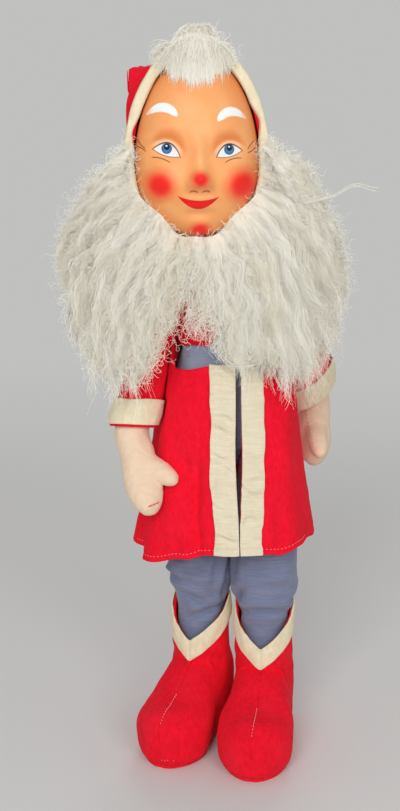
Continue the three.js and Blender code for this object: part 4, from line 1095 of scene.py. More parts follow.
def makeTrouserLeg(side, sign):
    hipHeight = pivots["hip_" + side][2]
    hip, thigh, shin = trousers["hip"], trousers["thigh"], trousers["shin"]
    mouth = boot["height"] + boot["cuffRise"]
    stations = [
        *capStations(np.array([0, 0, hipHeight]), np.array([0, 0, 1]), hip, (84, 55, 25)),
        [0, 0, hipHeight, hip, hip], [0, 0, 160, 19.6, 19.6], [0, 0, 140, thigh, thigh],
        [0, 0, 122, thigh + 0.8, thigh + 1], [0, 0, 108, 20.8, 20.6], [0, 0, mouth + 2, 17.8, 17.4],
        [0, 0, 84, shin, shin], [0, 0, 68, shin - 0.6, shin - 0.6],
        [0, 0, trousers["ankle"], shin - 2.5, shin - 2.5]]
    rows = spline(stations, 130)
    turn = np.linspace(-pi, pi, 97)[:-1]
    r = rows[:, 3][:, None] + 0 * turn[None]
    z = rows[:, 2][:, None] + 0 * turn[None]
    arc = turn[None] * trousers["middling"] + 0 * z
    push = np.zeros_like(z)
    for angle, level, tilt, width, reach, depth in trousers["creases"][side]:
        offArc = (turn[None] - radians(angle) + pi) % (2 * pi) - pi
        a, b = offArc * trousers["middling"] + 0 * z, z - level
        width = width * 1.25
        run = a * cos(radians(tilt)) + b * sin(radians(tilt))
        off = b * cos(radians(tilt)) - a * sin(radians(tilt)) + 0.03 * run * run / 3
        above, below = hump(off - 2.1 * width, 1.7 * width), hump(off + 2.6 * width, 2.2 * width)
        push += hump(run, reach) * depth * (0.75 * above - hump(off, width) + 0.4 * below)
    flatPoints = np.stack([arc, 0 * arc, z], -1)
    shown = smooth(z, 60, 92) * (1 - smooth(z, 172, 186))
    soft = 0.9 * ripple(flatPoints, 22, 91 + sign) + 0.22 * ripple(flatPoints, 7, 93 + sign)
    push = (1.25 * push + soft) * shown
    inside = z < cuffTop(turn)[None] + 1.5      # the cloth has to stay within the boot
    r = np.where(inside, np.minimum(r + push, boot["halfWidth"] - boot["felt"] - 0.6), r + push)
    grid = np.stack([r * np.sin(turn)[None], -r * np.cos(turn)[None], z], -1)
    piece = skin(named("trouserLeg", side), onLeg(grid, sign), blueCotton, wrap=True, caps=(0, -1))
    paddedOf(piece, "leg_" + side, "leg_" + side)


for side, sign in legs.items():
    makeTrouserLeg(side, sign)
    makeBoot(side, sign)
print("legs and boots ready")


# Head

head = {"place": np.array([-20, -18, 377.9]), "turn": 3, "half": 37.3, "up": 66, "down": 42, "depth": 26,
        "back": 50, "fullness": 2.6, "mask": 1.8, "bandWidth": 5.6, "bandDepth": 8.5, "bandEnd": 62}
faceForm = [    # place across and up, spread across and up, and height
    (0.7, 6, 4.5, 11, 3.4), (0.7, -6.2, 5.6, 6.2, 8.2),         # nose
    (-4.2, -9.2, 3, 3, 2.6), (5.6, -9.2, 3, 3, 2.6),            # its wings
    (-21, -8, 11, 9.5, 4.6), (23.5, -8, 11, 9.5, 4.6),          # cheeks
    (-18, 12.5, 10, 6.5, -3.4), (18, 12.5, 10, 6.5, -3.4),      # eye hollows
    (-18.4, 13.5, 5.5, 3.2, 1.8), (18.2, 13, 5.5, 3.2, 1.8),    # lids
    (-19, 25, 12, 6, 1.6), (18.5, 24, 12, 6, 1.6),              # brows
    (0.3, -17.6, 11, 2.2, 1.4), (0.3, -21.6, 8, 2.2, 1.6),      # lips
    (0.3, -26.5, 8, 2.6, -1.6),                                 # the hollow under them
    (1.4, -35.5, 8, 6, 4.4)]                                    # chin


def onHead(points):
    return turned(points, head["turn"]) + head["place"]


def faceDepth(x, z, inset=0.0):
    tall = np.where(z > 0, head["up"], head["down"]) - inset
    edge = np.minimum(1, (x / (head["half"] - inset)) ** 2 + (z / tall) ** 2)
    y = (head["depth"] - inset) * (1 - edge) ** 0.6
    for atX, atZ, wide, high, height in faceForm:
        y = y + height * np.exp(-((x - atX) / wide) ** 2 - ((z - atZ) / high) ** 2) * (1 - edge**2)
    return y


def discGrid(count):        # a square grid drawn out to a disc
    u, v = np.meshgrid(np.linspace(-1, 1, count), np.linspace(-1, 1, count))
    return u * np.sqrt(1 - v * v / 2), v * np.sqrt(1 - u * u / 2)


facePaint = {
    "skin": (0.91, 0.375, 0.13), "glow": (0.94, 0.43, 0.165), "shade": (0.74, 0.20, 0.045),
    "blush": (0.97, 0.010, 0.011), "lip": (0.80, 0.008, 0.010), "nostril": (0.42, 0.02, 0.012),
    "white": (0.86, 0.84, 0.82), "whiteShade": (0.62, 0.58, 0.58), "brow": (0.92, 0.92, 0.90),
    "iris": (0.032, 0.135, 0.33), "irisPale": (0.065, 0.22, 0.44), "irisDark": (0.012, 0.05, 0.15),
    # lid: the pale lid over each eye, partly a painted highlight
    "pupil": (0.01, 0.01, 0.014), "glint": (0.8, 0.84, 0.88), "lid": (0.93, 0.58, 0.36),
    "line": (0.045, 0.026, 0.02), "rim": (0.26, 0.09, 0.03),
    # eyes: inner corner, outer corner, lid height over and under the corners' line, iris
    "eyes": [((-10.8, 6.6), (-26.2, 11.0), 5.7, 1.7, (-18.3, 11.3)),
             ((10.5, 6.6), (25.7, 10.1), 5.4, 1.7, (17.9, 10.8))],
    # brows: both ends, arch and outer side
    "brows": [((-12.3, 29.9), (-29.6, 30.6), 4.2, -1), ((11.2, 27.2), (28.0, 28.6), 4.2, 1)],
    # blushes: place, and spread across and up
    "blushes": [(-22.2, -9.4, 9.2, 9.2), (26.2, -9.5, 10.6, 10.4), (0.7, -5.8, 5.6, 5.0),
                (1.5, -36.0, 6.8, 5.0)],
    "mouth": ((-12.6, -15.2), (12.2, -15.8), 2.6, 7.7),     # corners, and how far both edges hang
    "nostrils": [(-3.0, -12.3), (4.2, -12.2)],
    # wrinkles: both ends and the sag between them
    "wrinkles": [((-27.4, 6.3), (-16.2, 3.3), 1.0), ((15.1, 3.3), (25.6, 5.8), 1.0),
                 ((-35.2, 16.8), (-30.4, 11.0), -0.6), ((-35.6, 12.6), (-30.2, 9.4), 0.4),
                 ((34.0, 15.8), (29.2, 10.4), 0.6), ((34.6, 11.6), (29.0, 8.8), -0.4)]}


def faceFinish():
    look = facePaint
    paint = Paint("paintedFace", {"Specular IOR Level": 0.3})
    x, _, z = paint.parts(paint.place())

    def oval(at, wide, high):       # squared distance from a spot, 1 at its edge
        a, b = (x - at[0]) / wide, (z - at[1]) / high
        return a * a + b * b

    def between(first, last):       # across and above the line between two points, from -1 to 1 along it
        middle, half = (np.array(first) + last) / 2, (np.array(last) - first) / 2
        length = float(np.hypot(*half))
        way = half / length
        if way[0] < 0:
            way = -way
        a, b = x - float(middle[0]), z - float(middle[1])
        return (a * float(way[0]) + b * float(way[1])) / length, b * float(way[0]) - a * float(way[1])

    cloud = paint.noise(paint.place(), 16, 3, 0.5)
    colour = paint.mix(cloud.rise(0.35, 0.7), look["skin"], look["glow"])
    # painted shade: the face's colour darkens towards the mask's edge
    jaw = oval((0, 6), head["half"], 50).rise(0.42, 1.15) * 0.5
    colour = paint.mix(jaw, colour, look["shade"])
    spray = (cloud - 0.5) * 0.25
    for atX, atZ, wide, high in look["blushes"]:
        sprayed = oval((atX, atZ), wide, high) + spray      # thick in the middle, thin round it
        strength = sprayed.rise(1.9, 0.1) * 0.6 + sprayed.rise(0.8, 0.05) * 0.38
        colour = paint.mix(strength, colour, look["blush"])
    # mouth: a crescent between two hanging arcs
    along, above = between(*look["mouth"][:2])
    arch = 1 - along * along
    upper, lower = arch * -look["mouth"][2], arch * -look["mouth"][3]
    lips = (upper - above).rise(-0.25, 0.3) * (above - lower).rise(-0.25, 0.3) * abs(along).rise(1.04, 0.98)
    colour = paint.mix(lips, colour, look["lip"])
    for at in look["nostrils"]:     # two small arcs under the nose
        dx, dz = x - at[0], z - at[1]
        arc = abs(dz - dx * dx * -0.16 + 0.2).rise(0.75, 0.25) * abs(dx).rise(2.6, 1.9)
        colour = paint.mix(arc * 0.75, colour, look["nostril"])
    for inner, outer, lift, drop, iris in look["eyes"]:
        along, above = between(inner, outer)
        arch = 1 - along * along
        lid, under = arch * lift, arch * -drop
        within = abs(along).rise(1.03, 0.97)
        # airbrushed shade round the socket, then a pale lid, partly paler paint and partly a painted
        # highlight
        over = above - (1 - along * along * 0.6) * lift
        smudge = over.rise(0.8, 3.2) * over.rise(10.5, 3.5) * abs(along).rise(1.65, 0.75)
        colour = paint.mix(smudge * 0.8, colour, look["shade"])
        paleLidAndHighlight = over.rise(2.6, 0.8) * over.rise(-1.5, 0.2) * abs(along).rise(1.2, 0.8)
        colour = paint.mix(paleLidAndHighlight * 0.8, colour, look["lid"])
        openEye = (lid - above).rise(-0.15, 0.25) * (above - under).rise(-0.15, 0.25) * within
        ball = paint.mix(above.rise(lift, lift * 0.4), look["whiteShade"], look["white"])
        ring = oval(iris, 3.0, 3.0)
        spokes = paint.noise(paint.place(), 1.1, 2, 0.5)
        blue = paint.mix((ring + spokes * 0.5).rise(0.15, 1.2), look["irisPale"], look["iris"])
        blue = paint.mix(ring.rise(0.7, 1.0), blue, look["irisDark"])
        ball = paint.mix(ring.rise(1.12, 0.92), ball, blue)
        pupil = oval((iris[0] + 0.1, iris[1] + 0.9), 1.6, 1.8)
        ball = paint.mix(pupil.rise(1.2, 0.8), ball, look["pupil"])
        glint = oval((iris[0] - 0.1, iris[1] + 1.5), 0.6, 0.5)
        ball = paint.mix(glint.rise(1.3, 0.7), ball, look["glint"])
        colour = paint.mix(openEye, colour, ball)
        lash = abs(above - lid - 0.15).rise(0.62, 0.2) * abs(along).rise(1.08, 1.0)
        crease = abs(above - under).rise(0.5, 0.12) * within * 0.6
        colour = paint.mix(lash.most(crease), colour, look["line"])
    for inner, outer, lift, outside in look["brows"]:   # a brush stroke, thick at the nose and drawn out thin
        along, above = between(inner, outer)
        out = along * outside
        bristle = paint.noise(paint.stretched(paint.place(), 1, 1, 0.4), 0.9, 3, 0.6)
        drawn, blunt = (out + 0.3).most(0) / 1.36, (out + 0.3).least(0) / 0.76
        half = (1 - drawn * drawn - blunt * blunt * blunt * blunt).most(0).root() * 3.0
        off = above - (1 - along * along) * lift * 0.9 - 0.4 + out * 0.3 + (bristle - 0.5) * 0.7
        brush = (half - abs(off)).rise(0, 0.7)
        colour = paint.mix(brush * out.rise(1.1, 0.55).most(0.55), colour, look["brow"])
    for first, last, sag in look["wrinkles"]:
        along, above = between(first, last)
        line = abs(above - (1 - along * along) * sag).rise(0.42, 0.12) * abs(along).rise(1.05, 0.8)
        colour = paint.mix(line * 0.85, colour, look["line"])
    tall = z.rise(-0.01, 0.01) * (head["up"] - head["down"]) + head["down"]
    rimShare = (x / head["half"]) * (x / head["half"]) + (z / tall) * (z / tall)
    colour = paint.mix(rimShare.rise(0.955, 0.99) * 0.85, colour, look["rim"])
    grain = paint.noise(paint.place(), 0.9, 3, 0.5)
    return paint.use(colour, 0.40 + grain * 0.12, grain * 0.5 + cloud, 0.06, 0.3)


def makeFace():
    u, v = discGrid(150)
    x = u * head["half"]
    z = v * np.where(v > 0, head["up"], head["down"])
    grid = np.stack([x, -faceDepth(x, z), z], -1)
    piece = skin("faceMask", grid, faceFinish(), thick=head["mask"], local=True)
    aside = Matrix.Rotation(radians(head["turn"]), 4, "Z")
    piece.matrix_world = Matrix.Translation((head["place"] + dollMiddle) * mm) @ aside
    rideOf(piece, "head", "face_mask")


makeFace()


def headBack(share, turn, grow):    # the back of the head, out of the mask's outline by some millimetres
    tall = np.where(np.sin(turn) > 0, head["up"], head["down"])
    deep = np.maximum(0, 1 - share ** head["fullness"]) ** (1 / head["fullness"])
    return np.stack([(head["half"] + grow) * share * np.cos(turn), (head["back"] + grow) * deep + 0 * turn,
                     (tall + grow) * share * np.sin(turn)], -1)


neckRadius = collar["neck"][2]
neck = turned(np.array([*collar["neck"][:2], 0]) - head["place"] * [1, 1, 0], -head["turn"])


def makeStuffing():
    turn = np.arange(48) * 2 * pi / 48
    inset = 3.4
    rows = []
    for share in np.linspace(0.12, 0.99, 16):
        x = (head["half"] - inset) * share * np.cos(turn)
        z = np.where(np.sin(turn) > 0, head["up"] - inset, head["down"] - inset) * share * np.sin(turn)
        rows.append(np.stack([x, -np.maximum(faceDepth(x, z, inset) - 2.2, 0.2), z], -1))
    for share in np.linspace(0.98, 0.1, 18):
        rows.append(headBack(share, turn, -inset))
    grid = np.array(rows)
    grid = grid + 0.4 * ripple(grid, 12, 95)[..., None] * unit(grid)
    skull = skin("headStuffing", onHead(grid), skinCotton, wrap=True, caps=(0, -1), finer=0)
    paddedOf(skull, "head", "head_stuffing")
    rows = []
    for z in np.linspace(torsoTop + 0.4 - head["place"][2], -18, 14):
        r = neckRadius - 0.6 * sin(pi * (z + 52) / 34)
        rows.append(np.stack([neck[0] + r * np.cos(turn), neck[1] + r * np.sin(turn), z + 0 * turn], -1))
    post = skin("neck", onHead(np.array(rows)), skinCotton, wrap=True, caps=(0, -1), finer=0)
    paddedOf(post, "head", None)


makeStuffing()

hood = {"felt": 1.2, "grow": 2.4, "slits": [(163, 7, 2.6), (23, 7, 2.8)]}    # slits: angle, spread and width
hoodCorner = [      # x, y, z, half-height and half-depth
    (-12, 30, 41, 20, 17), (-21, 32, 46, 16, 14), (-29, 33, 48.8, 12.6, 11), (-36, 33, 50, 11, 9.4),
    (-39.6, 33, 50.4, 10, 8.2), (-41, 33, 50.4, 7.6, 5.5)]


def makeHood():
    turn = np.arange(120) * 2 * pi / 120
    rows = []
    for grow, y in ((0.4, -3.6), (1.5, -2.4), (2.0, -1.0)):     # the edge that lies under the band
        ring = headBack(1.0, turn, grow)
        ring[:, 1] = y
        rows.append(ring)
    rows += [headBack(share, turn, hood["grow"]) for share in 1 - np.linspace(0, 0.97, 60) ** 1.7]
    grid = np.array(rows)
    seam = -1.6 * hump(grid[..., 0], 1.3) * (grid[..., 2] > -20)
    soft = 1.0 * ripple(grid, 26, 101) + 0.3 * ripple(grid, 9, 102)
    edge = smooth(grid[..., 1], 0, 12)
    outward = unit(grid - [0, 8, 6])
    loose = 7.5 * hump(np.degrees(turn)[None] - 146, 15)        # the felt stands off below the corner
    loose = loose * smooth(grid[..., 1], 0.5, 9) * smooth(-grid[..., 1], -42, -26)
    grid = grid + outward * ((seam + soft) * edge + loose)[..., None]
    grid[..., 2] = np.maximum(grid[..., 2], -head["down"] - hood["grow"] + 0.2)
    piece = skin("hoodFelt", onHead(grid), redFelt, wrap=True, caps=(-1,), thick=hood["felt"])
    sheetOf(piece, "head", "hood", cutSize(grid, True))
    corner = limb([(x, y, z, deep, tall) for x, y, z, tall, deep in hoodCorner], 44, 64, 3.6)
    middle = corner.mean(1, keepdims=True)
    outward = unit(corner - middle)
    corner = corner + outward * (0.5 * ripple(corner, 16, 105) + 0.25 * ripple(corner, 5, 106))[..., None]
    tip = skin("hoodCorner", onHead(corner), redFelt, wrap=True, caps=(0, -1))
    rideOf(tip, "head")


makeHood()


def makeHoodBand():
    degrees = np.linspace(-head["bandEnd"], 180 + head["bandEnd"], 190)
    turn = np.radians(degrees)
    inner = -0.3 + sum(wide * hump(degrees - at, spread) for at, spread, wide in hood["slits"])
    outer = 1.0 + head["bandWidth"] + 0 * inner
    front, back = -0.4 - head["bandDepth"], -0.4
    rows = []
    for angle in np.linspace(0, 2 * pi, 33)[:-1]:
        c, s = superRound(np.array(angle), 3.6)
        ring = headBack(1.0, turn, (inner + outer) / 2 + (outer - inner) / 2 * c)
        ring[:, 1] = (front + back) / 2 + (back - front) / 2 * s
        rows.append(ring)
    grid = np.array(rows).transpose(1, 0, 2)
    soft = 0.35 * ripple(grid, 16, 111) + 0.15 * ripple(grid, 5, 112)
    outward = unit(grid - grid.mean(1, keepdims=True))
    grid = grid + outward * soft[..., None]
    piece = skin("hoodBand", onHead(grid), creamFelt, wrap=True, caps=(0, -1))
    rideOf(piece, "head", "hood_band")


makeHoodBand()
print("head ready")


# Wool

beard = {
    "outline": [(-43, 8), (-64, -15), (-81, -48), (-77, -88), (-62, -124), (-45, -131), (-28, -124),
                (-12, -101), (12, -107), (26, -120), (42, -120), (57, -130), (71, -121), (84, -93),
                (88, -63), (79, -30), (60, 2), (42, 18)],
    "start": 170, "end": 371,       # where it begins and ends round the face, in degrees
    "edge": 4, "side": 15, "middle": 27, "chest": 17.2, "coat": 28.4,       # thickness, and what it lies on
    "ends": [(0, 1.0), (0.10, 2.3), (0.5, 7.4), (0.90, 14.2), (1, 15.7)],   # the outline point a lock ends at
    "swirl": (25.3, -104), "fibre": 0.11, "stray": 0.085,
    "wisp": [(62, -24, -20), (78.8, -26, -15.6), (90.4, -26, -9.8), (99, -25, -11.6), (103.5, -25, -12.7)],
    # locks: name, seed, locks, fibres in each, points along them, depths in the mat, way they face, pieces
    "locks": [("beardLocks", 120, 120, 66, 20, (0.84, 1.01), -1, 4),
              ("beardRear", 121, 66, 54, 14, (-0.03, 0.08), 1, 2)],
    # fluff: name, fibres, where along the wool, points, curl, depths in the mat, way they face
    "fluff": [("beardFluff", 6000, (0.01, 0.92), 14, 0.34, (0.92, 1.06), -1),
              ("beardFrizz", 1000, (0.60, 0.95), 18, 0.46, (0.6, 1.02), -1),
              ("beardStrays", 600, (0.60, 0.96), 18, 0.46, (0.0, 0.6), 0),
              ("beardRearFluff", 1300, (0.1, 0.93), 12, 0.36, (-0.05, 0.05), 1)]}
beardOutline = spline(beard["outline"], 341)


def beardBack(z):       # the wool lies on the band, then the chest, then the coat
    nearFace, chest, overCoat = head["bandDepth"] + 0.8, beard["chest"], beard["coat"]
    down = head["down"]
    return -(nearFace + (chest - nearFace) * smooth(-z, down * 0.3, down * 1.2)
             + (overCoat - chest) * smooth(-z, down * 2, down * 2.5))


def beardRear(x, z):    # the wool's rear: under the chin, on the chest, and past the hood at the sides
    levels = (-120, -112, -96, -80, -66, -58, -47, -38, -12)
    middle = np.interp(z, levels, (-27, -18, -16.5, -16.5, -10, -1, 0, -9.3, -9.3))
    beside = np.interp(z, levels, (-17, -13, -8, -4, 0, 3, 5, 6, 6))
    return lerp(middle, beside, smooth(np.abs(x), 42, 58))


def beardSlope(z):      # the chest's line, drawn out to an even slope for the front of the wool
    down = head["down"]
    return -(9.3 + 8 * smooth(-z, down * 0.3, down * 1.2) + 11 * smooth(-z, down * 1.2, down * 3.3))


def beardThick(x, s):
    thickest = lerp(beard["side"], beard["middle"], hump(x, head["half"]))
    swell = np.sin(pi * (0.12 + 0.84 * np.clip(s, 0, 1))) ** 0.8
    return beard["edge"] + (thickest - beard["edge"]) * swell


def beardRoots(t):      # along the face's edge, over it at the jaw
    degrees = lerp(beard["start"], beard["end"], t)
    jaw, under = hump(degrees - 228, 22) + hump(degrees - 312, 22), hump(degrees - 270, 14)
    at = headBack(1.0, np.radians(degrees), 1.6 - 6.6 * jaw - 2.8 * under)
    front = np.maximum(faceDepth(at[..., 0], at[..., 2]) + 0.8, head["bandDepth"] + 0.4)
    return at[..., 0], -front, at[..., 2]


def beardPoint(t, s, depth):
    # t runs round the face, s from the face (0) to the tips (1), depth from the chest (0) to the front (1)
    x0, y0, z0 = beardRoots(t)
    at = np.interp(t, *zip(*beard["ends"])) * 20
    x1, z1 = (np.interp(at, np.arange(len(beardOutline)), beardOutline[:, k]) for k in range(2))
    first, second, third = (1 - s) ** 2, 2 * s * (1 - s), s * s
    high = smooth(np.abs(t - 0.5), 0.36, 0.5)       # the uppermost locks lie straighter
    x = first * x0 + second * lerp(x0, x1, 0.80 - 0.26 * high) + third * x1
    z = first * z0 + second * lerp(z0, z1, 0.26 + 0.2 * high) + third * z1
    back = beardBack(z)
    front = np.minimum(beardSlope(z) - beardThick(x, s), back - 3)
    front = lerp(front, np.minimum(-13, back - 3), 0.85 * high)     # and thinner
    fuller = (1 - smooth(depth, 0, 0.5)) * (1 - smooth(s, 0.5, 0.95)) * (1 - 0.8 * high)
    y = lerp(back, front, depth) + (beardRear(x, z) - back) * fuller
    return np.stack([x, lerp(y0, y, smooth(s, 0, 0.22)), z], -1)


def sparse(t):      # thin wool under the chin, where the shirt shows
    return hump(t - 0.455, 0.07)


def woolPiece(name, paths, radii, tones, way=-1, lean=0.0):
    # way is -1 for the front of the mat, 1 for its back and 0 for strays
    # lean turns the fibres' light to the sides of their lock
    side = unit(np.cross(np.gradient(paths, axis=1), [0, -1.0, 0]))
    facing = unit(paths * [0.011, 0, 0] + [0, 0.9 * way, 0.35] + side * lean) if way else None
    piece = strandMesh(name, onHead(paths), radii, tones, woolTones, facing)
    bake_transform(piece)


def makeBeardCore():
    t, s = np.linspace(0.0, 1.0, 260), np.linspace(0.0, 0.9, 80)
    ragged = 1 - 0.08 * np.abs(np.sin(t * 41)) - 0.06 * np.abs(np.sin(t * 97 + 1)) - 0.36 * sparse(t)
    tt, ss = np.broadcast_arrays(t[None], s[:, None] * ragged[None])
    bend = tt + 0.012 * np.sin(ss * 9 + tt * 17) + 0.006 * np.sin(ss * 23 + tt * 40)
    ridges = np.abs(np.sin(bend * 58)) ** 0.7 * 0.6 + np.abs(np.sin(bend * 133 + 1)) ** 0.8 * 0.4
    relief = (ridges - 0.55) * 0.10 * smooth(ss, 0.02, 0.2)
    front = beardPoint(tt, ss, 0.80 + relief)
    front[..., 1] += 1.6 * (1 - smooth(ss, 0, 0.25))
    back = beardPoint(tt, ss, 0.06 + 0 * tt)
    grid = np.concatenate([front, back[::-1]], 0).transpose(1, 0, 2)
    piece = skin("beardWool", onHead(grid), woolDeep, wrap=True, caps=(0, -1), finer=0)
    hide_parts("beard")
    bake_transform(piece)


def swayed(paths, run, amount, length, phase):      # a wave along fibres, sideways and a little in depth
    along = unit(np.gradient(paths, axis=1))
    out = np.array([0, -1.0, 0])
    side = unit(np.cross(along, out))
    turn = 2 * pi * run * np.linalg.norm(np.diff(paths, axis=1), axis=-1).sum(1)[:, None] / length + phase
    sideways, deeper = amount * np.sin(turn), 0.5 * amount * np.cos(turn * 0.9)
    return paths + side * sideways[..., None] + out * deeper[..., None]


def besideFace(t):      # the same share of the beard, without its middle
    return np.where(t < 0.5, t * 0.76, 1 - (1 - t) * 0.76)


def makeBeardLocks(name, seed, locks, each, steps, depths, way, pieces):
    draw = np.random.default_rng(seed)
    spread = lambda low, high, count=locks: draw.uniform(low, high, count)
    middle = np.clip((np.arange(locks) * 0.6180339887) % 1.0 + draw.normal(0, 0.004, locks), 0.004, 0.996)
    middle = besideFace(middle) if way > 0 else middle
    middle[:14] = [*np.linspace(0.001, 0.03, 7), *np.linspace(0.97, 0.999, 7)]      # the upper ends
    depth = lerp(*depths, spread(0, 1))
    first = np.where(spread(0, 1) < 0.6, spread(0, 0.03), spread(0.03, 0.5))
    first[:14] = 0.0
    last = np.clip(draw.normal(0.92, 0.05, locks), 0.78, 1.0) - 0.24 * sparse(middle) * spread(0.2, 1)
    wave, waveLength, wavePhase = spread(1.0, 3.4), spread(20, 42), spread(0, 6.28)
    tone = draw.choice(4, locks, p=[0.5, 0.3, 0.14, 0.06])
    own = np.repeat(np.arange(locks), each)
    own = own[spread(0, 1, len(own)) > 0.72 * sparse(middle[own])]
    count = len(own)
    run = np.linspace(0, 1, steps)[None]
    column = lambda values: values[own][:, None]
    jitter = lambda size: draw.normal(0, size, count)[:, None]
    s = np.maximum(lerp(column(first) + jitter(0.03), column(last) + jitter(0.05), run), 0)
    across = jitter(1.0)
    t = column(middle) + 0.010 * np.sin(s * 7 + column(wavePhase)) + 0.0095 * across * (1.1 - 0.35 * s)
    paths = beardPoint(np.clip(t, 0, 1), s, column(depth) + jitter(0.035))
    grip = smooth(run, 0, 0.3)
    paths = swayed(paths, run, column(wave) * grip, column(waveLength), column(wavePhase) + jitter(0.35))
    # fine crinkles, and tips that curl more
    for amount, span in ((0.7 * smooth(run, 0, 0.15), (5, 9)), (1.5 * smooth(run, 0.7, 1), (9, 16))):
        length, phase = draw.uniform(*span, (count, 1)), draw.uniform(0, 6.28, (count, 1))
        paths = swayed(paths, run, amount, length, phase)
    radii = beard["fibre"] * draw.uniform(0.75, 1.4, count)[:, None] * (1 - 0.5 * run**3)
    tones = np.clip(tone[own] + draw.choice([-1, 0, 0, 1], count), 0, 3)
    order = np.argsort(middle[own], kind="stable")
    for number, part in enumerate(np.array_split(order, pieces)):
        lean = 0.5 * across[part][..., None]
        woolPiece(name + str(number), paths[part], radii[part], tones[part], way, lean)


def curls(draw, roots, heading, steps, step, tight, tilt):      # loose fibres that wander as they grow
    count = len(roots)
    ticks = np.arange(steps)[None]
    fresh = lambda low, high: draw.uniform(low, high, (count, 1))
    bend = draw.normal(0, tight * 0.5, (count, 1)) + tight * np.sin(ticks * fresh(0.25, 0.8) + fresh(0, 6.28))
    angle = heading[:, None] + np.cumsum(bend, 1)
    pitch = tilt[:, None] + 0.5 * np.sin(ticks * fresh(0.25, 0.8) + fresh(0, 6.28))
    moves = np.stack([np.cos(angle) * np.cos(pitch), -np.sin(pitch) * 0.7, np.sin(angle) * np.cos(pitch)], -1)
    return roots[:, None] + np.cumsum(moves * step[:, None, None], 1)


def makeFluff():
    # crinkled fibres all over the wool, and longer ones that stand off its edge
    draw = np.random.default_rng(130)
    for name, count, span, steps, tight, depths, way in beard["fluff"]:
        t, s = draw.uniform(0, 1, count), draw.uniform(*span, count)
        s = np.where((np.arange(count) % 4 == 0) & (span[0] < 0.05), draw.uniform(0, 0.16, count), s)
        kept = draw.uniform(0, 1, count) > 0.75 * sparse(t)
        t, s = t[kept], s[kept]
        t = besideFace(t) if way > 0 else t
        depth = draw.uniform(*depths, len(t))
        ends = np.arange(len(t)) % 11 == 0      # some cover the cut ends beside the band
        t = np.where(ends, np.round(t), t)
        depth = np.where(ends, draw.uniform(0.1, 1, len(t)), depth)
        roots = beardPoint(t, s, depth)
        ahead = beardPoint(t, s + 0.02, depth) - roots
        heading = np.arctan2(ahead[:, 2], ahead[:, 0]) + draw.normal(0, 0.7, len(t))
        outward = np.sign(roots[:, 0]) * smooth(np.abs(roots[:, 0]), 30, 70)
        heading = heading + (0.7 * outward if span[0] > 0.5 else 0)
        step = draw.uniform(0.5, 1.05, len(t))
        paths = curls(draw, roots, heading, steps, step, tight, draw.normal(0.05, 0.25, len(t)))
        paths[..., 0] = np.clip(paths[..., 0], -96, 106)
        radii = np.full(paths.shape[:2], beard["stray"]) * draw.uniform(0.8, 1.3, (len(t), 1))
        woolPiece(name, paths, radii, draw.choice(3, len(t)), way)


def makeSwirl():        # a loose curl over the chest, and a wisp that stands off at the side
    draw = np.random.default_rng(150)
    count, steps = 420, 20
    fresh = lambda low, high: draw.uniform(low, high, (count, 1))
    run = np.linspace(0, 1, steps)[None]
    radius = fresh(1.5, 13.5) * (1 + 0.12 * np.sin(run * fresh(3, 9)))
    turn = fresh(0, 6.28) + run * fresh(0.9, 2.6)
    x = beard["swirl"][0] + draw.normal(0, 1.0, (count, 1)) + radius * np.cos(turn)
    z = beard["swirl"][1] + draw.normal(0, 1.0, (count, 1)) + 0.85 * radius * np.sin(turn)
    y = beardBack(z) - fresh(1.5, 9) - 0.6 * np.sin(run * fresh(4, 12))
    apart = draw.normal(0, 1, (9, 1, 3)) * [0.8, 1, 0.8] * np.linspace(0.4, 1.6, steps)[None, :, None]
    paths = np.concatenate([np.stack([x, y, z], -1), spline(beard["wisp"], steps)[None] + apart])
    radii = np.full(paths.shape[:2], beard["stray"])
    tones = draw.choice(3, len(paths))
    woolPiece("beardSwirl", paths, radii, tones, -1, draw.normal(0, 0.4, (len(paths), 1, 1)))


forelock = {"strands": 2600, "points": 20, "fibre": 0.11, "crest": 99, "fringe": 50.5, "loops": 320}


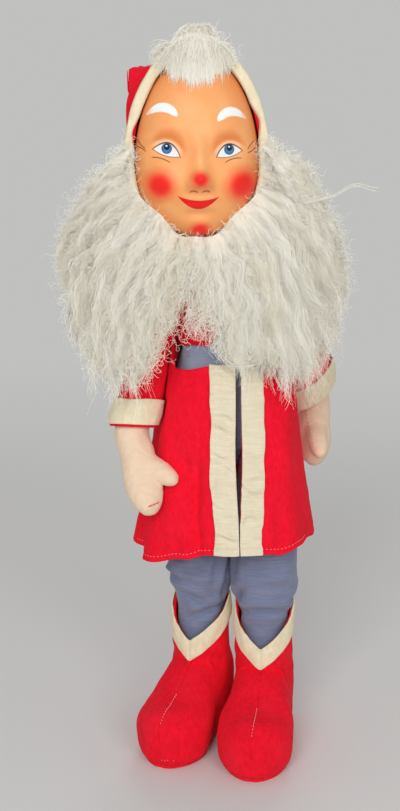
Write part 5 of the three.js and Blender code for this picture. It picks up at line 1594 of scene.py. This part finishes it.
def makeForelock():
    draw = np.random.default_rng(140)
    count, steps, loops = forelock["strands"], forelock["points"], forelock["loops"]
    run = np.linspace(0, 1, steps)[None]
    fresh = lambda low, high: draw.uniform(low, high, (count, 1))
    fan = np.clip(draw.normal(0, 0.5, (count, 1)), -1.1, 1.0)
    high = fresh(0, 1) ** 0.7
    # from a knot on the crown, up, over the band, and down the forehead
    start = np.concatenate([1 + fan * 8, fresh(-4, 6), 69 - np.abs(fan) * 4], 1)[:, None]
    crest = forelock["crest"] - 22 * smooth(np.abs(fan), 0.45, 1)       # a knob, lower beside it
    peak = np.concatenate([fan * 15, -lerp(9, 15, fresh(0, 1)), lerp(76, crest, high)], 1)[:, None]
    tuft = 1.3 * np.sin(np.round(fan * 6) * 2.4)        # the ends gather a little
    low = draw.normal(forelock["fringe"], 2.6, (count, 1)) + 9 * np.abs(fan) ** 1.4 + tuft
    end = np.concatenate([-1 + fan * 24, fresh(-2, 0), low], 1)[:, None]
    part = run[..., None]
    paths = (1 - part) ** 2 * start + 2 * part * (1 - part) * peak + part**2 * end
    for axis in range(3):
        paths[..., axis] += fresh(0.3, 1.1) * np.sin(run * fresh(8, 22) + fresh(0, 6.28))
    x, z = paths[..., 0], paths[..., 2]
    rim = head["up"] * np.sqrt(np.maximum(0, 1 - (x / head["half"]) ** 2))
    overFace = faceDepth(x, np.minimum(z, rim - 0.1)) + 0.6
    overBand = (head["bandDepth"] + 1.2) * smooth(z, rim - 11, rim - 7) * smooth(-z, -rim - 12, -rim - 8)
    lift = fresh(0, 4) * np.sin(pi * run)
    clear = np.minimum(paths[..., 1], -np.maximum(overFace, overBand) - lift)
    paths[..., 1] = lerp(paths[..., 1], clear, smooth(run, 0.15, 0.4))
    radii = forelock["fibre"] * draw.uniform(0.8, 1.3, (count, 1)) * (1 - 0.5 * run**3)
    roots = np.stack([draw.normal(1, 7, loops), draw.uniform(-12, 2, loops), draw.uniform(68, 75, loops)], -1)
    roots[:, 2] -= 0.03 * roots[:, 0] ** 2
    step = draw.uniform(0.4, 0.8, loops)
    stray = curls(draw, roots, draw.uniform(-0.3, 2.9, loops), steps, step, 0.38, draw.normal(0, 0.3, loops))
    paths = np.concatenate([paths, stray])
    radii = np.concatenate([radii, np.full((loops, steps), beard["stray"])])
    tones = draw.choice(4, len(paths), p=[0.55, 0.3, 0.12, 0.03])
    lean = draw.normal(0, 0.3, (len(paths), 1, 1)) * [1, 0, 0]
    over = smooth(run[..., None], 0.2, 0.55)       # from the crown round to the forehead
    facing = unit(paths * [0.02, 0, 0] + lerp(np.array([0, -0.1, 1]), np.array([0, -0.85, 0.5]), over) + lean)
    piece = strandMesh("forelockWool", onHead(paths), radii, tones, woolTones, facing)
    rideOf(piece, "head", "forelock")


makeBeardCore()
for layer in beard["locks"]:
    makeBeardLocks(*layer)
makeFluff()
makeSwirl()
makeForelock()
print("wool ready")
